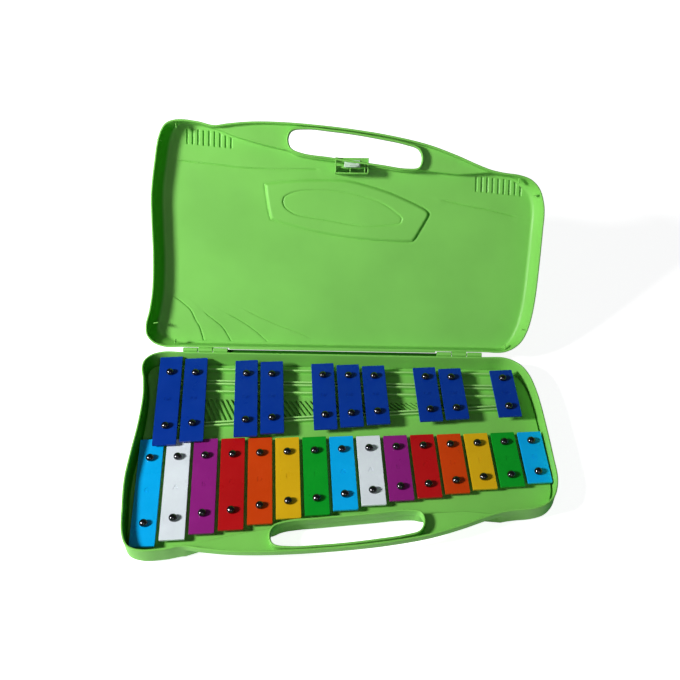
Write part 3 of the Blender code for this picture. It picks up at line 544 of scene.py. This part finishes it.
def plastic(name, colour, roughness=0.42, grain=0.5, deep=None):
    """Moulded plastic: a fine grain, slow colour drift, uneven gloss, and, when deep is given, painted shade:
    a darker, more saturated colour on sides facing +X, which the key light from the left leaves in shadow.
    """
    made, nodes, links, shader = shader_nodes(name)
    drift = noise(nodes, links, 14.0, 3.0, 0.0, 1.0)
    tint(nodes, links, shader, [c * 0.93 for c in colour], [min(1.0, c * 1.06) for c in colour], drift)
    # Painted shade: deep is the shadow colour, mixed in as the surface normal turns towards +X.
    if deep:
        facing = nodes.new("ShaderNodeNewGeometry")
        parts = nodes.new("ShaderNodeSeparateXYZ")
        links.new(facing.outputs["Normal"], parts.inputs["Vector"])
        turn = nodes.new("ShaderNodeMapRange")
        turn.inputs["From Min"].default_value = 0.25
        turn.inputs["From Max"].default_value = 0.75
        links.new(parts.outputs["X"], turn.inputs["Value"])
        mix = nodes.new("ShaderNodeMix")
        mix.data_type = "RGBA"
        mix.inputs["B"].default_value = (*deep, 1.0)
        links.new(turn.outputs["Result"], mix.inputs["Factor"])
        links.new(shader.inputs["Base Color"].links[0].from_socket, mix.inputs["A"])
        links.new(mix.outputs["Result"], shader.inputs["Base Color"])
    links.new(noise(nodes, links, 45.0, 4.0, roughness - 0.05, roughness + 0.07), shader.inputs["Roughness"])
    bump(nodes, links, shader, noise(nodes, links, 2600.0, 2.0, 0.0, 1.0), 0.00006, grain)
    shader.inputs["Specular IOR Level"].default_value = 0.28
    return made


def paint(name, colour):
    """Gloss paint on metal, with a faint orange peel and soft smears in its gloss."""
    made, nodes, links, shader = shader_nodes(name)
    drift = noise(nodes, links, 30.0, 4.0, 0.0, 1.0)
    tint(nodes, links, shader, [c * 0.94 for c in colour], [min(1.0, c * 1.05) for c in colour], drift)
    links.new(noise(nodes, links, 60.0, 5.0, 0.26, 0.40), shader.inputs["Roughness"])
    bump(nodes, links, shader, noise(nodes, links, 420.0, 2.0, 0.0, 1.0), 0.00008, 0.35)
    shader.inputs["Specular IOR Level"].default_value = 0.3
    shader.inputs["Coat Weight"].default_value = 0.12
    shader.inputs["Coat Roughness"].default_value = 0.15
    return made


def metal(name, colour, roughness, scratch=0.15):
    made, nodes, links, shader = shader_nodes(name)
    shader.inputs["Metallic"].default_value = 1.0
    drift = noise(nodes, links, 220.0, 4.0, 0.0, 1.0)
    tint(nodes, links, shader, [c * 0.8 for c in colour], colour, drift)
    links.new(noise(nodes, links, 500.0, 4.0, roughness - 0.05, roughness + 0.08), shader.inputs["Roughness"])
    bump(nodes, links, shader, noise(nodes, links, 1500.0, 3.0, 0.0, 1.0), 0.00004, scratch)
    return made


GREEN = (0.197, 0.570, 0.098)
COLOURS = {
    "g": (0.0, 0.40, 0.88), "a": (0.70, 0.77, 0.84), "b": (0.25, 0.012, 0.20), "c": (0.44, 0.005, 0.007),
    "d": (0.58, 0.050, 0.002), "e": (0.68, 0.41, 0.006), "f": (0.002, 0.32, 0.018),
    "sharp": (0.001, 0.034, 0.32),
}
# The deep colour (0.035, 0.42, 0.004) is painted shade on faces turned to +X, such as the case's left inner
# walls and the bed's shaded sides.
green_plastic = plastic("green_plastic", GREEN, deep=(0.035, 0.42, 0.004))
# Near-black green, painted shade: it stands in for the shadow in the gap behind the tray's rear wall.
shade_plastic = plastic("flange_painted_shade_plastic", (0.012, 0.11, 0.004))
# Lighter green, painted highlight: the light caught by the rounded tops of the bed's ribs and ledges.
rib_highlight_plastic = plastic("rib_painted_highlight_plastic", (0.36, 0.73, 0.22), 0.3, 0.3)
bed_plastic = plastic("bed_green_plastic", GREEN, deep=(0.035, 0.42, 0.004))
latch_plastic = plastic("latch_pale_plastic", (0.50, 0.66, 0.53), 0.35)
pin_metal = metal("black_nickel", (0.10, 0.10, 0.11), 0.2)
hinge_steel = metal("hinge_steel", (0.55, 0.55, 0.56), 0.3)
paints = {key: paint("paint_" + key, colour) for key, colour in COLOURS.items()}


# The case

LID_PLACE = (Matrix.Translation((0.0, HINGE_Y * MM, HINGE_Z * MM)) @ Matrix.Rotation(-LID_OPEN, 4, "X")
             @ Matrix.Translation((0.0, -HINGE_Y * MM, (LID_HEIGHT + GAP) * MM))
             @ Matrix.Scale(-1.0, 4, (0, 0, 1)))


def collar(height):
    """The rounded wall round the handle's slot, and a cutter for the slot."""
    low, samples = height - HANDLE_DEPTH, SAMPLES
    line = opening_outline(samples=samples)
    middle = COLLAR / 2
    bm = bmesh.new()
    rings = []
    for index in range(17):
        turn = math.pi * index / 16
        rings.append(ring(bm, inset(line, -middle - middle * math.cos(turn)),
                          height - middle + middle * math.sin(turn)))
    for turn, rest in round_steps(5):
        rings.append(ring(bm, inset(line, -1.6 * (1 - rest)), low + 1.6 * (1 - turn)))
    rings.append(ring(bm, inset(line, -COLLAR), low + 0.3))
    loft(bm, rings + [rings[0]])
    cutter = plate([inset(line, -0.9)], low - 6.0, height + 5.0)
    return bm, cutter


def dress_half(name, height, slope, body, place, panel):
    """One half of the case: shell, slot collar and inner floor, as one piece."""
    walls, edge = shell(height, slope)
    half = new_object(walls, name, None, green_plastic)
    ring_mesh, cutter = collar(height)
    cutter_object = new_object(cutter, "cutter", None)
    cut(half, cutter_object)
    bm = bmesh.new()
    bm.from_mesh(half.data)
    for extra in (ring_mesh, panel(edge)):
        mesh = bpy.data.meshes.new("extra")
        extra.to_mesh(mesh)
        extra.free()
        bm.from_mesh(mesh)
        bpy.data.meshes.remove(mesh)
    bmesh.ops.remove_doubles(bm, verts=bm.verts, dist=2e-6)
    bmesh.ops.recalc_face_normals(bm, faces=bm.faces)
    bm.transform(place)
    if place.determinant() < 0:
        bmesh.ops.reverse_faces(bm, faces=bm.faces)
    bpy.data.objects.remove(half, do_unlink=True)
    piece = new_object(bm, name, body, green_plastic, smooth=40.0)
    return piece


def flat_floor(edge):
    bm = bmesh.new()
    bm.faces.new(ring(bm, [Vector(point) for point in edge], FLOOR))
    return bm


# The lid's relief, by its own outline's measures: x from the left, y from the hinge line

def from_hinge(knots):
    return [(x, y + 125.0) for x, y in knots]


SHIELD = from_hinge([(-87, -181), (-60, -184.5), (-30, -186.3), (3, -186), (39, -177), (61, -169), (83, -159),
                     (91.5, -153.5), (92.5, -149), (89, -142), (80, -126), (77, -122), (72, -120.3),
                      (40, -121),
                     (-4, -125), (-42, -132), (-76, -141.5), (-80.5, -144.5), (-84, -160)])
LENS = from_hinge([(-67, -162), (-64, -168), (-48, -174), (-16, -175), (12, -171), (39, -163), (59, -150),
                    (63, -144),
                   (56, -139), (18, -137), (-15, -142), (-48, -147), (-59, -151.5), (-65, -156.5)])
CREASES = [from_hinge(line) for line in (
    [(-185, -206), (-179, -205), (-158, -203), (-136, -201), (-119, -199), (-101, -198),
     (-71, -197), (-25, -198)],
    [(104, -167), (137, -160), (159, -156), (181, -151), (190, -149)],
    [(-192, -58.5), (-183, -54), (-174, -47), (-168, -41), (-163, -31), (-158, -22), (-154, -8), (-152, 4)],
    [(-156, -42), (-149, -36), (-141, -30), (-132, -22), (-123, -7), (-117, 4)],
    [(-131, -40), (-119, -34), (-107, -27), (-97, -20), (-81, -6), (-70, 4)],
    [(-114, -46), (-94, -36), (-82, -31), (-70, -26), (-53, -20), (-33, -12)])]
CREASE_STEPS = (-0.7, -0.6, 0.6, 0.55, 0.5, 0.35)
VENT_ROWS = [(-172.0, -114.0, 0.09), (143.0, -67.0, 0.09)]
VENT_COUNT, VENT_PITCH, VENT_WIDTH, VENT_LENGTH, VENT_DEPTH = 9, 6.0, 1.6, 16.0, 1.3


def side_of(points, line):
    """Signed distance from a line of points: positive to its left."""
    line = np.asarray(line, float)
    best, sign = np.full(len(points), 1e9), np.ones(len(points))
    for a, b in zip(line, line[1:]):
        along = b - a
        t = np.clip(((points - a) @ along) / max(along @ along, 1e-12), 0, 1)
        gap = points - a - t[:, None] * along
        distance = np.hypot(*gap.T)
        closer = distance < best
        turn = along[0] * (points - a)[:, 1] - along[1] * (points - a)[:, 0]
        sign = np.where(closer, np.sign(turn), sign)
        best = np.minimum(best, distance)
    return best * sign


def lid_relief(points):
    """Height of the lid's inner face over its plain floor."""
    closed = np.array([tuple(p) for p in rounded_line(SHIELD + SHIELD[:1], 3)])
    lens = np.array([tuple(p) for p in rounded_line(LENS + LENS[:1], 5)])
    inside = within(points, closed)
    depth = np.where(inside, 1.0, -1.0) * distance_to(points, closed)
    height = 2.1 * smooth(depth, -0.4, 2.6) - 0.5 * np.exp(-((depth + 0.5) / 0.8) ** 2)
    in_lens = np.where(within(points, lens), 1.0, -1.0) * distance_to(points, lens)
    height -= 0.6 * smooth(in_lens, -0.6, 0.6) + 0.7 * np.exp(-(in_lens / 0.75) ** 2)
    for line, step in zip(CREASES, CREASE_STEPS):
        curve = np.array([tuple(p) for p in rounded_line(line, 5)])
        signed = side_of(points, curve)
        ends = np.minimum(np.hypot(*(points - curve[0]).T), np.hypot(*(points - curve[-1]).T))
        fade = smooth(ends, 0.0, 9.0)
        groove = np.exp(-(signed / 0.62) ** 2)
        height += fade * (-abs(step) * 1.25 * groove + step * 0.7 * smooth(signed, -0.5, 0.5)
                          * np.exp(-np.maximum(signed, 0) / 12.0))
    for start, low, slope in VENT_ROWS:
        for index in range(VENT_COUNT):
            x, y = start + VENT_PITCH * index, low + slope * VENT_PITCH * index
            across = smooth(points[:, 0] - x + VENT_WIDTH / 2, -0.25, 0.25)
            across *= smooth(x + VENT_WIDTH / 2 - points[:, 0], -1.1, 0.25)
            along = np.maximum(y - points[:, 1], points[:, 1] - y - VENT_LENGTH)
            height -= VENT_DEPTH * across * smooth(-along, -0.4, 0.4)
    return height


def beside(knots, steps, shifts):
    """Rows of points along a line and beside it."""
    curve = np.array([tuple(p) for p in rounded_line(knots, steps)])
    along = np.gradient(curve, axis=0)
    along /= np.maximum(np.hypot(*along.T), 1e-9)[:, None]
    normal = np.stack([-along[:, 1], along[:, 0]], 1)
    return [[tuple(p) for p in curve + normal * shift] for shift in shifts]


def crease_points():
    """Extra points along each fine line of the relief, so that it stays crisp."""
    lines = []
    for line in CREASES:
        lines += beside(line, 14, (-1.1, -0.55, 0.0, 0.55, 1.1))
    lines += beside(SHIELD + SHIELD[:1], 8, (-2.7, -1.3, -0.5, 0.0, 0.5, 1.1))
    lines += beside(LENS + LENS[:1], 10, (-1.2, -0.6, 0.0, 0.6, 1.2))
    for start, low, slope in VENT_ROWS:
        for index in range(VENT_COUNT):
            x, y = start + VENT_PITCH * index, low + slope * VENT_PITCH * index
            for side in (-1, 1):
                for shift in (-0.25, 0.0, 0.25) if side < 0 else (-0.25, 0.4, 1.1):
                    lines.append([(x + side * (VENT_WIDTH / 2 + shift), y - 0.5 + step)
                                  for step in np.arange(0.0, VENT_LENGTH + 1.1, 1.0)])
    return lines


def lid_panel(edge):
    return relief_panel(edge, FLOOR, lid_relief, 1.4, crease_points())


def add_hinges(bm, side):
    """Knuckles with their webs, for the tray (-1) or the lid (+1), in the closed case's axes."""
    outer = KNUCKLE_LENGTH / 2 + KNUCKLE_GAP
    for middle in HINGE_MIDDLES.values():
        spans = [(middle - KNUCKLE_LENGTH / 2, middle + KNUCKLE_LENGTH / 2)]
        if side < 0:
            spans = [(middle - outer - KNUCKLE_LENGTH, middle - outer),
                     (middle + outer, middle + outer + KNUCKLE_LENGTH)]
        for start, end in spans:
            profile = [(math.cos(t), math.sin(t)) for t in np.linspace(0, 2 * math.pi, 32, endpoint=False)]
            rings = []
            for x, radius in ((start + 0.05, 1.3), (start + 0.05, KNUCKLE_RADIUS - 0.4),
                              (start + 0.45, KNUCKLE_RADIUS), (end - 0.45, KNUCKLE_RADIUS),
                              (end - 0.05, KNUCKLE_RADIUS - 0.4), (end - 0.05, 1.3)):
                rings.append([bm.verts.new((x * MM, radius * c * MM, radius * s * MM)) for c, s in profile])
            loft(bm, rings + [rings[0]])
            if side < 0:
                add_box(bm, (start, -HINGE_BACK - 1.2, -7.0), (end, -1.2, -0.8), 0.3)
            else:
                add_box(bm, (start, -HINGE_BACK - 1.2, 0.8), (end, -1.2, 7.0), 0.3)


tray = dress_half("tray_shell", TRAY_HEIGHT, 0.0, "case", Matrix.Identity(4), flat_floor)
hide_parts("tray")
lid = dress_half("lid_shell", LID_HEIGHT, LID_SIDE_SLOPE, "lid", LID_PLACE, lid_panel)
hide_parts("lid")

# The flange is drawn in the painted-shade green, so it shows as the dark gap between tray and lid.
flange = bmesh.new()
flange_low = HINGE_Z - FLANGE_DROP
add_box(flange, (HINGE_MIDDLES["left"] + 23.5, REAR_Y - 1.2, flange_low),
        (HINGE_MIDDLES["right"] - 23.5, HINGE_Y + FLANGE_REACH, flange_low + FLANGE_THICKNESS), 0.3)
new_object(flange, "tray_flange", "case", shade_plastic)
lip = bmesh.new()
add_box(lip, (HINGE_MIDDLES["left"] + 26.0, -HINGE_BACK - 0.8, GAP),
        (HINGE_MIDDLES["right"] - 26.0, -1.2, 2.0), 0.3)
lip.transform(Matrix.Translation((0.0, HINGE_Y * MM, HINGE_Z * MM)) @ Matrix.Rotation(-LID_OPEN, 4, "X"))
new_object(lip, "lid_lip", "lid", green_plastic)

hinge_place = Matrix.Translation((0.0, HINGE_Y * MM, HINGE_Z * MM))
for name, side, body, turn in (("tray_hinges", -1, "case", 0.0), ("lid_hinges", 1, "lid", -LID_OPEN)):
    hinges = bmesh.new()
    add_hinges(hinges, side)
    if side > 0:
        for middle in HINGE_MIDDLES.values():
            stop = bmesh.new()
            add_box(stop, (middle - 7.0, -HINGE_BACK + GAP, -STOP_DROP), (middle + 7.0, -2.0, -1.0), 0.3)
            bmesh.ops.rotate(stop, verts=stop.verts, matrix=Matrix.Rotation(LID_OPEN, 3, "X"))
            lug = bpy.data.meshes.new("lug")
            stop.to_mesh(lug)
            stop.free()
            hinges.from_mesh(lug)
            bpy.data.meshes.remove(lug)
    hinges.transform(hinge_place @ Matrix.Rotation(turn, 4, "X"))
    piece = new_object(hinges, name, body, green_plastic)


# The bars and their pins

def layout():
    """Name, paint, length, top height, and the two pins' places of each bar."""
    across = Vector((math.cos(LEAN), math.sin(LEAN)))
    along = Vector((math.sin(LEAN), -math.cos(LEAN)))
    found = []
    for index, (note, step) in enumerate(NATURAL_NOTES):
        length = LONGEST_NATURAL * 2 ** (-step / 24)
        rear = Vector(NATURAL_FIRST) + across * BAR_PITCH * index
        found.append((note, note[0], length, NATURAL_TOP, rear, rear + along * PIN_SPAN * length))
    for note, step, place in SHARP_NOTES:
        length = LONGEST_SHARP_BASIS * 2 ** (-step / 24)
        rear = Vector((SHARP_FIRST_X + SHARP_PITCH * place, SHARP_PIN_Y))
        found.append((note, "sharp", length, SHARP_TOP, rear, rear + along * PIN_SPAN * length))
    return found


def stamp(text, size):
    """A note letter as a thin solid, to press into a bar."""
    letter = bpy.data.curves.new("letter", "FONT")
    letter.body = text
    letter.size = size * MM
    letter.align_x = "CENTER"
    letter.align_y = "CENTER"
    letter.extrude = 0.22 * MM
    return curve_mesh(letter, 0.0)


def dress_bar(note, key, length, top, rear, front):
    along = (front - rear).normalized()
    half, reach = BAR_WIDTH / 2, length / 2
    pin = PIN_SPAN * length / 2
    corner = 0.8
    outline = []
    for sx, sy, start in ((1, 1, 0), (-1, 1, 90), (-1, -1, 180), (1, -1, 270)):
        for turn in range(0, 91, 30):
            angle = math.radians(start + turn)
            outline.append((sx * (half - corner) + corner * math.cos(angle),
                            sy * (reach - corner) + corner * math.sin(angle)))
    loops = [outline]
    for y in (pin, -pin):
        loops.append([(PIN_HOLE_RADIUS * math.cos(t), y + PIN_HOLE_RADIUS * math.sin(t))
                      for t in np.linspace(0, 2 * math.pi, 32, endpoint=False)])
    bm = plate(loops, -BAR_THICKNESS, 0.0)
    bmesh.ops.dissolve_limit(bm, angle_limit=0.001, verts=bm.verts, edges=bm.edges)
    sharp = [edge for edge in bm.edges if len(edge.link_faces) == 2 and edge.calc_face_angle(0.0) > 1.2]
    bmesh.ops.bevel(bm, geom=sharp, offset=0.32 * MM, segments=2, profile=0.5, affect="EDGES")
    bar = new_object(bm, "bar_" + note + "_painted", "case", paints[key])
    letter = note[0].upper() + ("#" if key == "sharp" else "")
    press = new_object(stamp(letter, 8.0 if key != "sharp" else 6.0), "press", None)
    cut(bar, press)
    bar.data.shade_smooth()
    bar.data.set_sharp_from_angle(angle=math.radians(50))
    weigh = bar.modifiers.new("even_shading", "WEIGHTED_NORMAL")
    weigh.keep_sharp = True
    angle = math.atan2(along.x, -along.y)
    middle = (rear + front) / 2
    bar.data.transform(Matrix.Translation((middle.x * MM, middle.y * MM, top * MM))
                       @ Matrix.Rotation(angle, 4, "Z"))
    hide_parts("bar_" + note)
    return bar


def turned(profile, sides):
    """A solid turned about Z from (radius, height) pairs that start and end on the axis."""
    bm = bmesh.new()
    rings = []
    for radius, height in profile:
        if radius == 0.0:
            rings.append([bm.verts.new((0.0, 0.0, height * MM))] * sides)
        else:
            rings.append([bm.verts.new((radius * MM * math.cos(t), radius * MM * math.sin(t), height * MM))
                          for t in np.linspace(0, 2 * math.pi, sides, endpoint=False)])
    loft(bm, rings)
    return bm


PIN_DOME = [(4.1 * math.sin(t), 1.5 + 3.5 * math.cos(t)) for t in np.linspace(0.12, 1.57, 12)]
PIN_PROFILE = ([(0.0, 5.0)] + PIN_DOME
               + [(4.0, 0.9), (3.7, 0.3), (3.2, 0.0), (1.75, -0.1), (1.75, -2.7), (0.0, -2.7)])

for note, key, length, top, rear, front in layout():
    dress_bar(note, key, length, top, rear, front)
    for place, pin in (("rear", rear), ("front", front)):
        bm = turned(PIN_PROFILE, 32)
        bm.transform(Matrix.Translation((pin.x * MM, pin.y * MM, (top + 0.25) * MM)))
        head = new_object(bm, f"pin_{note}_{place}", "case", pin_metal, smooth=50.0)


# The latch, in its box behind the handle's slot

def latch_box():
    """The open box that guides the latch, with a partition and a doubled right wall."""
    bm = bmesh.new()
    low, high = FLOOR - 0.6, LID_HEIGHT - 1.0
    left, right, rear, front = -10.0, 26.0, -67.0, -84.2
    bend, shallow = -74.5, LID_HEIGHT - HANDLE_DEPTH + 1.5
    for side in (left, right - 1.4):
        add_box(bm, (side, bend - 0.5, low), (side + 1.4, rear, high), 0.35)
        add_box(bm, (side, front, shallow), (side + 1.4, bend + 0.5, high), 0.35)
    add_box(bm, (left, rear - 1.4, low), (right, rear, high), 0.35)
    add_box(bm, (21.2, bend, low), (22.4, rear - 1.0, high - 0.6), 0.3)
    add_box(bm, (21.2, -78.0, shallow), (22.4, bend + 0.5, high - 0.6), 0.3)
    add_box(bm, (5.6, -72.5, low), (6.8, rear - 1.0, high - 1.4), 0.3)
    add_box(bm, (left + 1.0, front, shallow), (left + 3.4, front + 3.0, high - 0.4), 0.3)
    add_box(bm, (left + 1.0, SLIDER_REAR_Y - 1.5, 12.8), (right - 1.0, SLIDER_REAR_Y + 1.0, 14.8), 0.3)
    add_box(bm, (left + 1.0, front, 12.8), (right - 1.0, SLIDER_REAR_Y - 5.3, 14.8), 0.3)
    bm.transform(LID_PLACE)
    return new_object(bm, "latch_box", "lid", green_plastic)


def latch_tongue():
    """The pale slider with its thumb tab and its hook."""
    bm = bmesh.new()
    left, right = -0.45, 17.05
    rear, front = SLIDER_REAR_Y, SLIDER_REAR_Y - 5.0
    low = HINGE_Z + GAP + 1.6
    add_box(bm, (left, front + 1.9, low), (right, rear, low + 2.6), 0.5)
    add_box(bm, (left + 0.2, front - 2.6, low + 2.2), (right - 0.2, front + 2.4, low + 4.4), 0.5)
    add_box(bm, (right - 5.0, rear - 3.8, HINGE_Z - 6.5), (right - 1.0, rear - 1.0, low + 1.0), 0.4)
    add_box(bm, (right - 12.0, rear - 3.7, HINGE_Z - 6.4), (right - 2.0, rear - 1.1, HINGE_Z - 3.5), 0.4)
    bm.transform(Matrix.Translation((0.0, HINGE_Y * MM, HINGE_Z * MM)) @ Matrix.Rotation(-LID_OPEN, 4, "X")
                 @ Matrix.Translation((0.0, -HINGE_Y * MM, -HINGE_Z * MM)))
    return new_object(bm, "latch_tongue", "latch", latch_plastic)


# Place, angle and reach of the small ribs in the lid's corners
GUSSETS = [(-181.0, -115.5, 88.0, 2.6), (-199.5, -100.0, 10.0, 2.6), (-204.0, 97.0, -8.0, 2.6),
           (-183.0, 117.0, 92.0, 2.6), (187.0, -62.0, 96.0, 2.8), (205.5, -47.0, 165.0, 2.8),
           (198.0, 98.0, 8.0, 2.6), (178.0, 117.0, 88.0, 2.6)]


def gussets():
    """The thin ribs across the lid's four corners."""
    bm = bmesh.new()
    for x, y, angle, reach in GUSSETS:
        rib = bmesh.new()
        add_box(rib, (-reach, -0.5, 12.5), (reach, 0.5, LID_HEIGHT - 2.5), 0.25)
        rib.transform(Matrix.Translation((x * MM, y * MM, 0.0))
                      @ Matrix.Rotation(math.radians(angle), 4, "Z"))
        mesh = bpy.data.meshes.new("rib")
        rib.to_mesh(mesh)
        rib.free()
        bm.from_mesh(mesh)
        bpy.data.meshes.remove(mesh)
    bm.transform(LID_PLACE)
    return new_object(bm, "lid_gussets", "lid", green_plastic)


def bed_lines():
    """The rounded tops of the bed's ribs and of its two long ledges, in a lighter green that paints the
    highlight they catch.
    """
    bm = bmesh.new()
    left, right, top = -189.0, 188.0, 10.1
    places = layout()
    first, last = places[15][5], places[-1][5]
    slope = (last.y - first.y) / (last.x - first.x)
    lines = [(SHARP_PIN_Y + offset, 0.0) for offset in (-3.0, -7.0, -17.5, 13.5)]
    lines += [(first.y - slope * first.x + offset, slope) for offset in (4.6, 8.6)]
    for y, lean in lines:
        run = math.hypot(right - left, (right - left) * lean)
        line = bmesh.new()
        add_box(line, (0.0, -0.85, top - 1.2), (run, 0.85, top + 0.35), 0.6)
        line.transform(Matrix.Translation((left * MM, (y + left * lean) * MM, 0.0))
                       @ Matrix.Rotation(math.atan(lean), 4, "Z"))
        mesh = bpy.data.meshes.new("line")
        line.to_mesh(mesh)
        line.free()
        bm.from_mesh(mesh)
        bpy.data.meshes.remove(mesh)
    return new_object(bm, "bed_lines", "case", rib_highlight_plastic)


SLIDER_REAR_Y = -73.9
bed_lines()
latch_box()
gussets()
tongue = latch_tongue()
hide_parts("latch_slider")

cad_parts["bar_bed"].data.materials.clear()
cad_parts["bar_bed"].data.materials.append(bed_plastic)
for node, skin in (("hinge_pin_left", hinge_steel), ("hinge_pin_right", hinge_steel)):
    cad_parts[node].data.materials.clear()
    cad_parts[node].data.materials.append(skin)


# Floor, lamps and camera

def stage_floor():
    bm = bmesh.new()
    bmesh.ops.create_grid(bm, x_segments=1, y_segments=1, size=6.0)
    made, nodes, links, shader = shader_nodes("white_floor")
    shader.inputs["Base Color"].default_value = (0.86, 0.87, 0.88, 1.0)
    shader.inputs["Roughness"].default_value = 0.7
    glow = nodes.new("ShaderNodeEmission")
    glow.inputs["Color"].default_value = (1.0, 1.0, 1.0, 1.0)
    add = nodes.new("ShaderNodeAddShader")
    path = nodes.new("ShaderNodeLightPath")
    seen = nodes.new("ShaderNodeMath")
    seen.operation = "MULTIPLY"
    seen.inputs[1].default_value = 0.86
    mirrored = nodes.new("ShaderNodeMath")
    mirrored.operation = "MULTIPLY_ADD"
    mirrored.inputs[1].default_value = 0.15
    links.new(path.outputs["Is Camera Ray"], seen.inputs[0])
    links.new(path.outputs["Is Glossy Ray"], mirrored.inputs[0])
    links.new(seen.outputs["Value"], mirrored.inputs[2])
    links.new(mirrored.outputs["Value"], glow.inputs["Strength"])
    links.new(shader.outputs["BSDF"], add.inputs[0])
    links.new(glow.outputs["Emission"], add.inputs[1])
    links.new(add.outputs["Shader"], nodes["Material Output"].inputs["Surface"])
    floor = new_object(bm, "floor", None, made)
    floor.location.z = -0.0002


def white_world():
    world = bpy.data.worlds.new("studio")
    bpy.context.scene.world = world
    world.use_nodes = True
    nodes, links = world.node_tree.nodes, world.node_tree.links
    back = nodes["Background"]
    back.inputs["Color"].default_value = (0.93, 0.96, 1.0, 1.0)
    back.inputs["Strength"].default_value = 0.06
    white = nodes.new("ShaderNodeBackground")
    white.inputs["Color"].default_value = (1.0, 1.0, 1.0, 1.0)
    mix = nodes.new("ShaderNodeMixShader")
    path = nodes.new("ShaderNodeLightPath")
    links.new(path.outputs["Is Camera Ray"], mix.inputs["Fac"])
    links.new(back.outputs["Background"], mix.inputs[1])
    links.new(white.outputs["Background"], mix.inputs[2])
    links.new(mix.outputs["Shader"], nodes["World Output"].inputs["Surface"])


def lamp(name, place, target, size, power, colour=(1.0, 1.0, 1.0)):
    data = bpy.data.lights.new(name, "AREA")
    data.shape = "DISK"
    data.size = size
    data.energy = power
    data.color = colour
    thing = bpy.data.objects.new(name, data)
    bpy.context.scene.collection.objects.link(thing)
    thing.location = place
    thing.rotation_euler = (Vector(target) - Vector(place)).to_track_quat("-Z", "Y").to_euler()


stage_floor()
white_world()
lamp("key", (-1.5, -0.45, 1.05), (0.0, 0.08, 0.05), 0.35, 47.0, (1.0, 0.98, 0.95))
lamp("fill", (0.3, -1.5, 1.5), (0.0, 0.1, 0.05), 1.2, 4.0, (0.95, 0.98, 1.0))

camera_data = bpy.data.cameras.new("camera")
camera_data.sensor_width = 36.0
camera_data.lens = 936.0 / 680.0 * 36.0
camera = bpy.data.objects.new("camera", camera_data)
bpy.context.scene.collection.objects.link(camera)
right = Vector((0.9996, 0.0263, -0.0032)).normalized()
back = Vector((0.0202, -0.6743, 0.7382)).normalized()
up = back.cross(right).normalized()
right = up.cross(back)
camera.matrix_world = Matrix(((right.x, up.x, back.x, 0.0187), (right.y, up.y, back.y, -0.5533),
                              (right.z, up.z, back.z, 0.7862), (0.0, 0.0, 0.0, 1.0)))
bpy.context.scene.camera = camera
bpy.context.scene.view_settings.view_transform = "Standard"
